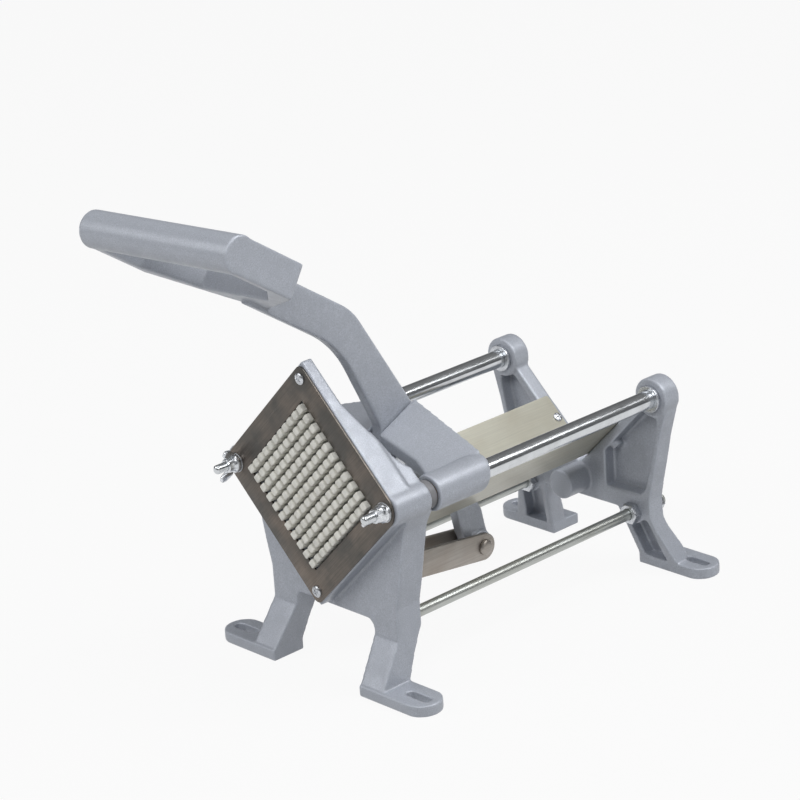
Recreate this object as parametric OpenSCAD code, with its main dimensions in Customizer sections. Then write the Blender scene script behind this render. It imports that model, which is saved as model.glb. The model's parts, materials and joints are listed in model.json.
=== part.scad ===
// French fry cutter: a lever pulls a peg block along two guide rods and pushes a potato through a
// grid of blades. +X is the object's right, the blades face -Y, +Z is up. The origin is the centre
// of the four foot slots, on the surface that the feet rest on. All sizes are in millimetres.

/* [Base] */
// Distance across, between the centres of the left and right foot slots
slot_span_x = 211; // [205:1:225]
// Distance front to rear, between the foot slots
slot_span_y = 342; // [336:1:380]
// Length of a foot slot over its round ends
slot_len = 26; // [14:1:30]
// Width of a foot slot
slot_w = 8.6; // [5:0.1:11]
// Thickness of a foot
foot_t = 10; // [7:0.5:13]
// Depth of a foot, front to rear
foot_depth = 34; // [28:1:38]

/* [Rods] */
// Height of the guide rods' axes
axis_z = 169; // [162:1:180]
// Distance between the guide rods' axes
rod_span = 178; // [176:1:186]
// Diameter of a guide rod
rod_d = 16; // [12:0.5:18]
// Diameter of the threaded stud at a guide rod's front end
stud_d = 8; // [6:0.5:10]
// Distance between the tie rods' axes
tie_span = 125; // [122:1:128]
// Height of the tie rods' axes
tie_z = 56.5; // [52:0.5:58]
// Diameter of a tie rod
tie_d = 10; // [8:0.5:12]

/* [Blade set] */
// Number of cells along a side of the blade grid
cells = 11; // [6:1:11]
// Distance from one blade to the next
cell_pitch = 9.525; // [7:0.025:9.525]
// Thickness of a blade
blade_t = 0.8; // [0.5:0.1:1.2]
// Depth of a blade, front to rear
blade_depth = 9; // [6:0.5:9]
// Side of the square cover plate
plate_side = 149; // [146:1:154]
// Thickness of the cover plate
plate_t = 2; // [1:0.5:3]
// Side of the square housing that the blade holder sits in
housing_side = 151; // [149:1:156]
// Side of the square blade holder
holder_side = 142; // [140:1:143]
// Depth of the blade holder, front to rear
holder_depth = 9.5; // [9.5:0.5:11]

/* [Pusher] */
// Side of a square peg
peg_side = 7.4; // [4:0.1:7.6]
// How far the pegs stand in front of the cover plate when closed
peg_reach = 3.5; // [1:0.5:6]
// Thickness of the peg block's backing plate
backing_t = 10; // [6:0.5:14]
// Outer diameter of a carriage sleeve
sleeve_d = 31; // [28:0.5:33]
// Length of a carriage sleeve along its underside
sleeve_len = 52; // [48:1:60]

/* [Lever] */
// Thickness of the lever's arm
arm_t = 12; // [9:0.5:14]
// Depth of the lever's upper arm
arm_depth = 32; // [24:1:34]
// Length of the upper arm, from its bend to the grip's axis
arm_len = 214; // [190:1:230]
// Slope of the upper arm below level, from the grip to the bend
arm_slope = 34; // [28:1:40]
// Diameter of the grip
grip_d = 30.6; // [26:0.1:34]
// Length of the grip
grip_len = 170; // [150:1:190]
// Turn of the handle about the arm, its right end up
handle_turn = 3.2; // [0:0.2:4]
// Diameter of the lever's pivot bolt
pivot_d = 8; // [8:0.5:12]
// Diameter of the link pins
pin_d = 10; // [8:0.5:12]
// Width of a link bar
link_w = 24; // [20:0.5:26]
// Thickness of a link bar
link_t = 4; // [3:0.5:5]

/* [Trough] */
// Thickness of a trough plate
trough_t = 1.5; // [1:0.25:2.5]
// Half width of the slot that the lever passes through
trough_slot = 9; // [8:0.5:10]
// Distance from the middle to a trough plate's upper edge
trough_reach = 48; // [40:1:54]

/* [Clearances] */
// Radial clearance of a running fit
run_fit = 0.05; // [0.02:0.01:0.1]
// Gap between pieces that pass each other
gap = 0.3; // [0.3:0.05:0.6]

/* [Hidden] */
$fn = 48;

cast_grey = "#b9bdc6";
steel_grey = "#9aa0a6";
blade_grey = "#6b655e";

// Stations from front to rear
front_y = -slot_span_y / 2;
rear_y = slot_span_y / 2;
plate_front = front_y - 8;
holder_front = plate_front + plate_t;
housing_back = holder_front + 12;
web_front = holder_front + 15;
web_t = 8;
web_back = web_front + web_t;
leg_depth = 27;
flange_back = web_front + leg_depth;
boss_back = web_front + 23;
yoke_front = rear_y - 33;
yoke_t = 16;
yoke_back = yoke_front + yoke_t;

// Places across and up
rod_x = rod_span / 2;
tie_x = tie_span / 2;
foot_r = foot_depth / 2;
foot_x = slot_span_x / 2 + 3.5;
foot_inner_x = 52;
window = cells * cell_pitch;
grid_corner = window / sqrt(2);
holder_tip = 82;
plate_tip = 99;
screw_reach = 93;
front_boss_d = 28;
rear_boss_d = 35.5;
boss_proud = 0.5;
insert_d = 5;
screw_d = 4;
buffer_d = 24;
buffer_t = 8;
collar_t = 3.5;
rear_boss_front = yoke_front - 1.8;
pad_d = 11;
pad_len = 14;
wall = 7;
leg_out = 76;
leg_in = 47;
arch_z = 57.5;

// Carriage
block_side = window - 1.3;
peg_front = plate_front - peg_reach;
block_front = web_back - 1.5;
block_back = block_front + backing_t;
mount_t = 8.5;
mount_back = block_back + mount_t;
mount_side = 72;
mount_screw = 20;
sleeve_front = boss_back + buffer_t + gap;
sleeve_back = sleeve_front + sleeve_len;
rear_lean = 0.27;
bush_d = rod_d + 4;
bush_len = 24;
pivot_y = mount_back + 44;
pivot_z = axis_z;
hub_d = 36;
cheek_gap = arm_t / 2 + 0.8;
cheek_t = 6.7;
cheek_out = cheek_gap + cheek_t;
pivot_af = pivot_d + 5;
wing_t = 10;
wing_rise = 23.8;
wing_fall = 15.3;
ridge_y = pivot_y + 25;
ridge_z = axis_z + 42.7;

// Lever, with places given from its pivot
hub_half = cheek_gap - gap;
eye_y = pivot_y + 95;
eye_z = pivot_z - 112;
eye_d = 27;
eye_half = 9.5;
bend_y = pivot_y - 31.5;
bend_z = pivot_z + 118.3;
handle_rise = 1.8;
grip_y = bend_y - arm_len * cos(arm_slope) + handle_rise * sin(arm_slope);
grip_z = bend_z + arm_len * sin(arm_slope) + handle_rise * cos(arm_slope);
outer_r = 60;
inner_r = 100;
handle_t = 29;
bar_side = 12;
shoulder_t = 63;
apex_t = 119;

// Link
hook_y = web_back + 17;
hook_z = 75;
link_run = eye_y - hook_y;
link_rise = eye_z - hook_z;
link_len = sqrt(link_run * link_run + link_rise * link_rise);
link_tilt = atan2(link_rise, link_run);
link_in = eye_half + gap;
link_out = link_in + link_t;

// Trough: outer faces lie on the lines z = trough_z + |x|
trough_z = axis_z - grid_corner - 6;
trough_front = web_back;
trough_back = yoke_back - 4;
front_screw_y = web_back + 8;
rear_screw_y = yoke_front + 7;
skew = trough_t * sqrt(2);

// Extrudes a shape drawn in X and Z, from y0 to y1
module along_y(y0, y1) {
    translate([0, y1, 0]) rotate([90, 0, 0]) linear_extrude(y1 - y0) children();
}

// Extrudes a shape drawn in Y and Z, from x0 to x1
module along_x(x0, x1) {
    translate([x0, 0, 0]) rotate([90, 0, 90]) linear_extrude(x1 - x0) children();
}

// Rod of diameter d along Y
module rod_y(x, z, d, y0, y1) {
    translate([x, y0, z]) rotate([-90, 0, 0]) cylinder(d = d, h = y1 - y0);
}

// Rod of diameter d along X
module rod_x_dir(y, z, d, x0, x1) {
    translate([x0, y, z]) rotate([0, 90, 0]) cylinder(d = d, h = x1 - x0);
}

// The shape and its mirror image on the other side
module both_sides() {
    children();
    mirror([1, 0, 0]) children();
}

// Square standing on its corner around the rods' height
module diamond(side) {
    translate([0, axis_z]) rotate(45) square(side, center = true);
}

// Hexagonal prism along Y, af across its flats
module hex_y(x, z, af, y0, y1) {
    translate([x, y0, z]) rotate([-90, 0, 0]) cylinder(d = af / cos(30), h = y1 - y0, $fn = 6);
}

// Points on an arc around [cy, cz]
function arc(cy, cz, r, a0, a1, n) =
    [for (i = [0:n]) [cy + r * cos(a0 + (a1 - a0) * i / n), cz + r * sin(a0 + (a1 - a0) * i / n)]];

// Foot plate of the right-hand leg, centred on y
module foot(y) {
    translate([foot_inner_x, y - foot_r, 0]) cube([foot_x - foot_inner_x, foot_depth, foot_t]);
    translate([foot_x, y, 0]) cylinder(d = foot_depth, h = foot_t);
}

// Slot through the right-hand foot at y
module foot_slot(y) {
    run = slot_len - slot_w;
    translate([slot_span_x / 2, y, -1]) {
        translate([-run / 2, -slot_w / 2, 0]) cube([run, slot_w, foot_t + 2]);
        for (dx = [-run / 2, run / 2]) translate([dx, 0, 0]) cylinder(d = slot_w, h = foot_t + 2);
    }
}

// Outline of the front casting's web and leg, right half
module front_outline() {
    polygon(concat(
        [[0, arch_z]],
        arc(leg_in - 8, arch_z - 8, 8, 90, 0, 6),
        [[leg_in, 46], [foot_inner_x, foot_t], [foot_inner_x, 0], [79, 0], [79, foot_t],
         [leg_out, 46], [leg_out, 74], [81, 96], [86, 123], [rod_x + 2, 146],
         [rod_x + 9, axis_z - 9], [rod_x, axis_z], [0, axis_z]]
    ));
}

// Side view of the front casting: level front above, kicked forward to the foot
module front_profile() {
    foot_front = front_y - foot_r + 2;
    polygon([
        [web_front, axis_z + 20], [web_front, 46], [foot_front, foot_t], [foot_front, 0],
        [front_y + foot_r, 0], [front_y + foot_r, foot_t], [web_front + 16, 30],
        [flange_back, 52], [flange_back, axis_z + 20]
    ]);
}

// Hollow behind the front casting's web and legs, right half
module front_pocket() {
    polygon([
        [-1, 40], [leg_in - wall, 40], [leg_in - wall, arch_z + wall],
        [leg_in + wall, arch_z + wall], [leg_in + wall, 34], [leg_out - wall, 34],
        [leg_out - wall, 75], [81 - wall, 98], [86 - wall, 125], [84, 142], [72, axis_z + 1],
        [-1, axis_z + 1]
    ]);
}

// Square of the blade holder with its left and right corners cut off
module holder_shape(side, extra) {
    tip = holder_tip + extra;
    intersection() {
        diamond(side);
        translate([-tip, axis_z - side]) square([2 * tip, 2 * side]);
    }
}

// Square ring around the blade holder, deeper below and beside the guide rods
module housing() {
    tip = rod_x + 6;
    intersection() {
        along_y(holder_front, web_back) diamond(housing_side);
        union() {
            translate([0, 0, axis_z]) linear_extrude(housing_side) polygon([
                [-tip, holder_front], [tip, holder_front], [tip, web_back], [60, web_back],
                [32, housing_back], [-32, housing_back], [-60, web_back], [-tip, web_back]
            ]);
            translate([-tip, holder_front, axis_z - housing_side])
                cube([2 * tip, web_back - holder_front, housing_side]);
        }
    }
}

// Shoulder from the housing back to the end of the right-hand rod boss
module boss_shoulder() {
    tip = rod_x + 5.5;
    rear = boss_back - 0.5;
    intersection() {
        along_y(web_back - 1, rear) diamond(housing_side - 3);
        translate([0, 0, axis_z]) linear_extrude(housing_side / 2) polygon([
            [50, web_back - 1], [tip, web_back - 1], [tip, rear], [rod_x - 8.5, rear],
            [rod_x - 12, rear - 5], [rod_x - 19, web_back + 5], [58, web_back + 2]
        ]);
    }
}

// Lug for the link's front pin, open below so that the pin can pass
module link_lug() {
    lug_half = link_in - 0.4;
    along_x(-lug_half, lug_half) difference() {
        polygon([
            [web_back - 1, 61], [hook_y + 15, 61], [hook_y + 15, 80], [hook_y + 8, 88],
            [web_back - 1, 88]
        ]);
        translate([hook_y, hook_z]) circle(d = pin_d + 2 * gap);
        polygon([
            [hook_y - pin_d / 2 - gap, hook_z], [hook_y + pin_d / 2 + gap, hook_z],
            [hook_y + 10, 66], [hook_y + 10, 60], [hook_y - 6, 60]
        ]);
    }
}

// Sloping pad under the right trough plate, from x0 to x1 across
module trough_pad(x0, x1, t, y0, y1) {
    along_y(y0, y1) polygon([
        [x0, trough_z + x0], [x1, trough_z + x1], [x1 + t, trough_z + x1 - t],
        [x0 + t, trough_z + x0 - t]
    ]);
}

module front_casting() {
    color(cast_grey) difference() {
        union() {
            difference() {
                both_sides() intersection() {
                    along_y(web_front - 60, flange_back) front_outline();
                    along_x(-1, foot_x) front_profile();
                }
                both_sides() along_y(web_back, flange_back + 1) front_pocket();
            }
            housing();
            both_sides() {
                foot(front_y);
                rod_y(rod_x, axis_z, front_boss_d, holder_front, boss_back);
                rod_y(tie_x, tie_z, tie_d + 11, web_back - 1, flange_back);
                trough_pad(22, 40, 6, web_back - 1, web_back + 15);
                boss_shoulder();
            }
            link_lug();
        }
        along_y(holder_front - 1, flange_back + 1) diamond(window + 1.2);
        along_y(holder_front - 1, holder_front + holder_depth) holder_shape(holder_side + 2 * gap, gap);
        both_sides() {
            foot_slot(front_y);
            rod_y(rod_x, axis_z, rod_d, web_front + 6, boss_back + 1);
            rod_y(rod_x, axis_z, stud_d + 0.6, holder_front - 1, web_front + 7);
            rod_y(rod_x, axis_z, buffer_d + 2 * gap, boss_back, flange_back + 1);
            rod_y(tie_x, tie_z, tie_d, web_back, flange_back + 1);
            trough_screw_place(front_screw_y) cylinder(d = screw_d, h = 30, center = true);
        }
    }
}

// Outline of the rear casting: arm, web and leg, right half
module rear_outline() {
    polygon(concat(
        [[0, arch_z], [44, arch_z], [46, 50], [foot_inner_x + 1, foot_t], [foot_inner_x + 1, 0],
         [98, 0], [98, foot_t], [84, 42], [82, 56], [82, 71], [85, 84], [90, 104], [96, 130],
         [rod_x + 15, 157], [rod_x + 15, axis_z], [rod_x, axis_z]],
        [[rod_x - 13, trough_z + rod_x - 13], [0, trough_z]]
    ));
}

// Side view of the rear casting: upright above, spreading to the foot
module rear_profile() {
    polygon([
        [yoke_front, axis_z + 30], [yoke_front, 56], [rear_y - foot_r, 8], [rear_y - foot_r, 0],
        [rear_y + foot_r, 0], [rear_y + foot_r, foot_t], [yoke_back + 17, foot_t],
        [yoke_back + 14, 23], [yoke_back + 2, 51], [yoke_back + 1, 75], [yoke_back - boss_proud, 150],
        [yoke_back - boss_proud, axis_z + 30]
    ]);
}

// Recess in the face of the rear casting's arm, right half
module arm_recess() {
    polygon([
        [31, 74], [71, 75], [77, 81], [80.5, 92], [88.5, 121], [92.5, 140], [93, 148],
        [90, 154], [84, 156], [76, 153.5], [31, 107]
    ]);
}

// Recess in the face of the rear casting's leg, right half
module leg_recess() {
    polygon([[52, 50], [76, 50], [79, 39], [83, 18], [86, foot_t], [60, foot_t], [54, 40]]);
}

module rear_casting() {
    color(cast_grey) difference() {
        union() {
            difference() {
                both_sides() intersection() {
                    along_y(yoke_front, rear_y + foot_r) rear_outline();
                    along_x(-1, foot_x) rear_profile();
                }
                both_sides() {
                    along_y(yoke_front - 1, yoke_front + 12) arm_recess();
                    intersection() {
                        along_y(yoke_front - 1, rear_y) leg_recess();
                        translate([0, 12, 0]) along_x(0, foot_x) polygon([
                            [yoke_front - 40, 60], [yoke_front, 60], [yoke_front, 56],
                            [rear_y - foot_r, 8], [yoke_front - 40, 8]
                        ]);
                    }
                }
            }
            rod_y(0, trough_z - 13.5, 27, yoke_front - 26, yoke_front + 1);
            both_sides() {
                foot(rear_y);
                rod_y(rod_x, axis_z, rear_boss_d, rear_boss_front, yoke_back);
                rod_y(tie_x, tie_z, tie_d + 12, yoke_front, yoke_back + 8);
                trough_screw_place(rear_screw_y) translate([0, 0, -pad_len])
                    cylinder(d = pad_d, h = pad_len - 1);
            }
        }
        both_sides() {
            foot_slot(rear_y);
            rod_y(rod_x, axis_z, rod_d, rear_boss_front - 1, yoke_back - 6);
            rod_y(rod_x, axis_z, stud_d + 0.6, yoke_back - 7, yoke_back + 1);
            rod_y(tie_x, tie_z, tie_d, yoke_front - 1, yoke_back + 9);
            trough_screw_place(rear_screw_y) cylinder(d = screw_d, h = 30, center = true);
        }
    }
}

module guide_rods() {
    color("#c9cdd2") both_sides() difference() {
        union() {
            rod_y(rod_x, axis_z, rod_d, web_front + 6, yoke_back - 6);
            rod_y(rod_x, axis_z, stud_d, plate_front - 24, web_front + 7);
        }
        rod_y(rod_x, axis_z, stud_d, yoke_back - 28, yoke_back - 5);
    }
}

module guide_rod_bolts() {
    color(steel_grey) both_sides() {
        rod_y(rod_x, axis_z, stud_d, yoke_back - 26, yoke_back + 2);
        rod_y(rod_x, axis_z, 18, yoke_back, yoke_back + 1.6);
        hex_y(rod_x, axis_z, 13, yoke_back + 1.6, yoke_back + 7);
    }
}

module rear_collars() {
    color(steel_grey) both_sides() difference() {
        rod_y(rod_x, axis_z, buffer_d, rear_boss_front - collar_t, rear_boss_front);
        rod_y(rod_x, axis_z, rod_d, rear_boss_front - collar_t - 1, rear_boss_front + 1);
    }
}

module front_buffers() {
    color("#7d8085") both_sides() difference() {
        rod_y(rod_x, axis_z, buffer_d, boss_back, boss_back + buffer_t);
        rod_y(rod_x, axis_z, rod_d, boss_back - 1, boss_back + buffer_t + 1);
    }
}

module tie_rods() {
    color("#a7aba8") both_sides() rod_y(tie_x, tie_z, tie_d, web_back, yoke_back + 22);
}

module tie_rod_nuts() {
    color("#aab0b4") both_sides() for (y0 = [yoke_front - 8, yoke_back + 8]) difference() {
        hex_y(tie_x, tie_z, 17, y0, y0 + 8);
        rod_y(tie_x, tie_z, tie_d, y0 - 1, y0 + 9);
    }
}

// Places a screw axis square to the right trough plate's outer face at y
module trough_screw_place(y) {
    translate([32, y, trough_z + 32]) rotate([0, -45, 0]) children();
}

// Right trough plate
module trough_plate() {
    difference() {
        along_y(trough_front, trough_back) polygon([
            [trough_slot, trough_z + trough_slot],
            [trough_reach, trough_z + trough_reach],
            [trough_reach - skew / 2, trough_z + trough_reach + skew / 2],
            [trough_slot - skew / 2, trough_z + trough_slot + skew / 2]
        ]);
        for (y = [front_screw_y, rear_screw_y])
            trough_screw_place(y) cylinder(d = screw_d, h = 10, center = true);
    }
}

module trough_right() {
    color("#a89c8e") trough_plate();
}

module trough_left() {
    color("#b9b7a8") mirror([1, 0, 0]) trough_plate();
}

module trough_screws() {
    color("#c4c7c9") both_sides() for (y = [front_screw_y, rear_screw_y])
        trough_screw_place(y) {
            translate([0, 0, -13]) cylinder(d = screw_d, h = 13 + trough_t);
            translate([0, 0, trough_t]) cylinder(d = 8.5, h = 1.8);
        }
}

module blade_plate() {
    color(blade_grey) along_y(plate_front, holder_front) difference() {
        intersection() {
            diamond(plate_side);
            translate([-plate_tip, axis_z - plate_tip - 4]) square([2 * plate_tip, 2 * plate_tip + 8]);
        }
        diamond(window);
        for (s = [-1, 1]) {
            translate([s * rod_x, axis_z]) circle(d = stud_d + 0.6);
            translate([0, axis_z + s * screw_reach]) circle(d = insert_d);
        }
    }
}

module blade_holder() {
    color(cast_grey) difference() {
        along_y(holder_front, holder_front + holder_depth) holder_shape(holder_side, 0);
        along_y(holder_front - 1, web_front) diamond(window);
        for (i = [1:cells - 1]) for (turn = [45, -45])
            translate([0, 0, axis_z]) rotate([0, turn, 0])
                translate([(i - cells / 2) * cell_pitch - blade_t / 2, holder_front, -window / 2 - 4])
                    cube([blade_t, blade_depth, window + 8]);
        for (s = [-1, 1]) rod_y(0, axis_z + s * screw_reach, insert_d, holder_front - 1, holder_front + 8);
    }
}

// Blades whose edges lean by turn from upright, each notched where the others cross
module blades(turn, notch_y) {
    for (i = [1:cells - 1]) translate([0, 0, axis_z]) rotate([0, turn, 0]) difference() {
        translate([(i - cells / 2) * cell_pitch - blade_t / 2, holder_front, -window / 2 - 4])
            cube([blade_t, blade_depth, window + 8]);
        for (j = [1:cells - 1])
            translate([-window, notch_y, (j - cells / 2) * cell_pitch - blade_t / 2])
                cube([2 * window, blade_depth, blade_t]);
    }
}

module blades_rising() {
    color("#c8c8c6") blades(45, holder_front + blade_depth / 2);
}

module blades_falling() {
    color("#c8c8c6") blades(-45, holder_front - blade_depth / 2);
}

module blade_screws() {
    color("#b8b4ae") for (s = [-1, 1]) {
        rod_y(0, axis_z + s * screw_reach, insert_d, plate_front, holder_front + 7);
        rod_y(0, axis_z + s * screw_reach, 10, plate_front - 2.6, plate_front);
    }
}

module stud_washers() {
    color(steel_grey) both_sides() difference() {
        rod_y(rod_x, axis_z, 17, plate_front - 1.5, plate_front);
        rod_y(rod_x, axis_z, stud_d, plate_front - 2, plate_front + 1);
    }
}

// Wing nut on the stud at x, its wings leaning by turn from upright
module wing_nut(x, turn) {
    nut_back = plate_front - 1.5;
    difference() {
        union() {
            rod_y(x, axis_z, 16, nut_back - 4, nut_back);
            rod_y(x, axis_z, 13, nut_back - 11, nut_back);
            translate([x, 0, axis_z]) rotate([0, turn, 0]) for (s = [-1, 1])
                translate([-1.6, 0, 0]) along_x(0, 3.2) polygon([
                    [nut_back - 1, s * 5], [nut_back - 3, s * 11], [nut_back - 8, s * 15],
                    [nut_back - 14, s * 16], [nut_back - 15, s * 10], [nut_back - 9, s * 5]
                ]);
        }
        rod_y(x, axis_z, stud_d + 2 * run_fit, nut_back - 20, nut_back + 1);
    }
}

module wing_nut_left() {
    color("#c2c5c8") wing_nut(-rod_x, 12);
}

module wing_nut_right() {
    color("#c2c5c8") wing_nut(rod_x, 44);
}

// Side view of the carriage's sides, their rear face leaning back
module carriage_side() {
    low = axis_z - sleeve_d / 2 - 1;
    high = axis_z + 50;
    polygon([
        [sleeve_front, low], [sleeve_front, high],
        [sleeve_back + (high - low) * rear_lean, high], [sleeve_back, low]
    ]);
}

// Plan of the right wing, with its front edge running from the cheek to the sleeve
module wing_plan() {
    rear = sleeve_back + 25;
    polygon([
        [cheek_gap, pivot_y - 12], [50, pivot_y - 13], [60, pivot_y - 16], [rod_x - 17, pivot_y - 20],
        [rod_x - 9, pivot_y - 25], [rod_x, pivot_y - 25], [rod_x, rear], [cheek_gap, rear]
    ]);
}

// Sloping plate from the cheek to the right sleeve, falling forwards and outwards
module wing() {
    reach = 140;
    intersection() {
        translate([0, ridge_y, ridge_z]) rotate([wing_rise, wing_fall, 0])
            translate([-reach / 4, -reach, -wing_t]) cube([2 * reach, 2 * reach, wing_t]);
        linear_extrude(2 * axis_z) wing_plan();
    }
}

// Cheek beside the lever, seen from the side
module cheek_profile() {
    translate([pivot_y, pivot_z]) circle(d = hub_d);
    polygon([
        [mount_back - 1, pivot_z - 20], [pivot_y, pivot_z - hub_d / 2],
        [sleeve_back + 3, pivot_z - 6], [sleeve_back + 13, pivot_z + 33],
        [pivot_y + 22, pivot_z + 34], [pivot_y - 4, pivot_z + 20],
        [pivot_y - 14, pivot_z + 10], [mount_back - 1, pivot_z + 10]
    ]);
}

module carriage() {
    bush_step = 1;
    color(cast_grey) difference() {
        union() {
            along_y(block_back, mount_back) diamond(mount_side);
            along_y(mount_back - 1, pivot_y - 23) translate([-cheek_out, pivot_z - 20])
                square([2 * cheek_out, 40]);
            both_sides() {
                along_x(cheek_gap, cheek_out) cheek_profile();
                intersection() {
                    along_x(0, rod_x + sleeve_d) carriage_side();
                    union() {
                        rod_y(rod_x, axis_z, sleeve_d, sleeve_front, sleeve_back + 20);
                        wing();
                    }
                }
            }
        }
        both_sides() {
            rod_y(rod_x, axis_z, bush_d, sleeve_front - 1, sleeve_back);
            rod_y(rod_x, axis_z, rod_d + bush_step, sleeve_back - 1, sleeve_back + 30);
        }
        rod_x_dir(pivot_y, pivot_z, pivot_d, -cheek_out - 1, cheek_out + 1);
        for (sx = [-1, 1]) for (sz = [-1, 1])
            rod_y(sx * mount_screw, axis_z + sz * mount_screw, insert_d, block_back - 1, mount_back + 1);
    }
}

module sleeve_bushes() {
    color("#b59a5a") both_sides()
        for (y0 = [sleeve_front, sleeve_back - bush_len]) difference() {
            rod_y(rod_x, axis_z, bush_d, y0, y0 + bush_len);
            rod_y(rod_x, axis_z, rod_d + 2 * run_fit, y0 - 1, y0 + bush_len + 1);
        }
}

module pusher_block() {
    color("#e8e6df") difference() {
        union() {
            along_y(block_front, block_back) diamond(block_side);
            along_y(peg_front, block_front + 1) translate([0, axis_z]) rotate(45)
                for (i = [0:cells - 1]) for (j = [0:cells - 1])
                    translate([(i - (cells - 1) / 2) * cell_pitch, (j - (cells - 1) / 2) * cell_pitch])
                        square(peg_side, center = true);
        }
        for (sx = [-1, 1]) for (sz = [-1, 1])
            rod_y(sx * mount_screw, axis_z + sz * mount_screw, insert_d, block_back - 8, block_back + 1);
    }
}

module pusher_screws() {
    color(steel_grey) for (sx = [-1, 1]) for (sz = [-1, 1]) {
        rod_y(sx * mount_screw, axis_z + sz * mount_screw, insert_d, block_back - 8, mount_back);
        rod_y(sx * mount_screw, axis_z + sz * mount_screw, 9, mount_back, mount_back + 3);
    }
}

module pivot_bolt() {
    color("#b3b0a8") {
        rod_x_dir(pivot_y, pivot_z, pivot_d, -cheek_out - 9, cheek_out);
        translate([cheek_out, pivot_y, pivot_z]) rotate([0, 90, 0])
            cylinder(d = pivot_af / cos(30), h = 5.3, $fn = 6);
    }
}

module pivot_nut() {
    color("#b3b0a8") difference() {
        translate([-cheek_out, pivot_y, pivot_z]) rotate([0, -90, 0])
            cylinder(d = pivot_af / cos(30), h = 6.8, $fn = 6);
        rod_x_dir(pivot_y, pivot_z, pivot_d, -cheek_out - 12, 1 - cheek_out);
    }
}

// Side view of the lever's arm, from the handle's apex to the link eye
module lever_profile() {
    down = [-sin(arm_slope), -cos(arm_slope)];
    slope = [-cos(arm_slope), sin(arm_slope)];
    half = arm_depth / 2;
    bend = [bend_y, bend_z];
    apex = bend + slope * (arm_len - apex_t + 20);
    corner = bend - down * half + slope * 7.5;
    neck = [pivot_y + 28.5, pivot_z + 40.5];
    rear_angle = atan2(neck[0] - corner[0], corner[1] - neck[1]);
    outer = corner + slope * outer_r * tan((90 - arm_slope - rear_angle) / 2) + down * outer_r;
    inner = bend + down * (half + inner_r) + slope * 34;
    polygon(concat(
        [apex - down * half],
        arc(outer[0], outer[1], outer_r, 90 - arm_slope, rear_angle, 6),
        [neck, [eye_y + 6.7, eye_z + 31.9], [eye_y + 12.8, eye_z + 3]],
        [[eye_y, eye_z], [eye_y - eye_d / 2 + 0.8, eye_z + 4], [eye_y - 17.4, eye_z + 15],
         [eye_y - 22.5, eye_z + 38], [eye_y - 36, eye_z + 60], [eye_y - 56, eye_z + 78],
         [pivot_y + 12, pivot_z - 16], [pivot_y, pivot_z],
         [pivot_y - 15.5, pivot_z + 7.5], [pivot_y - 9.8, pivot_z + 16],
         [pivot_y - 8, pivot_z + 23], [pivot_y - 8, pivot_z + 28],
         [pivot_y - 10.4, pivot_z + 33.5], [pivot_y - 13.6, pivot_z + 40.8],
         [pivot_y - 17.2, pivot_z + 48.4]],
        arc(inner[0], inner[1], inner_r, 25.8, 90 - arm_slope, 8),
        [apex + down * half]
    ));
}

// Handle loop in its own plane: x across, y away from the grip's axis
module handle_outline() {
    half = grip_len / 2;
    difference() {
        polygon([
            [-half, 0], [half, 0], [half, shoulder_t], [arm_t / 4, apex_t + 2],
            [-arm_t / 4, apex_t + 2], [-half, shoulder_t]
        ]);
        polygon([
            [-half + bar_side, -1], [half - bar_side, -1], [half - bar_side, shoulder_t - 16],
            [38, apex_t - 35], [-38, apex_t - 35], [-half + bar_side, shoulder_t - 16]
        ]);
    }
}

module lever() {
    color(cast_grey) difference() {
        union() {
            along_x(-arm_t / 2, arm_t / 2) lever_profile();
            rod_x_dir(pivot_y, pivot_z, hub_d, -hub_half, hub_half);
            rod_x_dir(eye_y, eye_z, eye_d, -eye_half, eye_half);
            translate([0, grip_y, grip_z]) rotate([-arm_slope, 0, 0]) rotate([0, -handle_turn, 0]) {
                linear_extrude(handle_t, center = true) handle_outline();
                rotate([0, 90, 0]) cylinder(d = grip_d, h = grip_len, center = true);
            }
        }
        rod_x_dir(pivot_y, pivot_z, pivot_d + 4, -hub_half - 1, hub_half + 1);
        rod_x_dir(eye_y, eye_z, pin_d + 2 * run_fit, -eye_half - 1, eye_half + 1);
    }
}

module lever_bush() {
    color("#b59a5a") difference() {
        rod_x_dir(pivot_y, pivot_z, pivot_d + 4, -hub_half, hub_half);
        rod_x_dir(pivot_y, pivot_z, pivot_d + 2 * run_fit, -hub_half - 1, hub_half + 1);
    }
}

module link_bars() {
    color("#a79b8f") both_sides() along_x(link_in, link_out) difference() {
        union() {
            translate([hook_y, hook_z]) circle(d = link_w);
            translate([eye_y, eye_z]) circle(d = link_w);
            translate([hook_y, hook_z]) rotate(link_tilt) translate([0, 0.5 - link_w / 2])
                square([link_len, link_w - 1]);
        }
        translate([hook_y, hook_z]) circle(d = pin_d);
        translate([eye_y, eye_z]) circle(d = pin_d);
    }
}

// Headed pin at [y, z] through both link bars
module link_pin(y, z) {
    rod_x_dir(y, z, pin_d, -link_out - 3.5, link_out);
    rod_x_dir(y, z, pin_d + 4, link_out, link_out + 4);
}

module link_rear_pin() {
    color("#a39a8c") link_pin(eye_y, eye_z);
}

module link_front_pin() {
    color("#a39a8c") link_pin(hook_y, hook_z);
}

module pin_clips() {
    color("#6f6a64") for (p = [[eye_y, eye_z], [hook_y, hook_z]]) difference() {
        rod_x_dir(p[0], p[1], pin_d + 6, -link_out - 1.5, -link_out);
        rod_x_dir(p[0], p[1], pin_d, -link_out - 2, -link_out + 1);
    }
}

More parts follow.
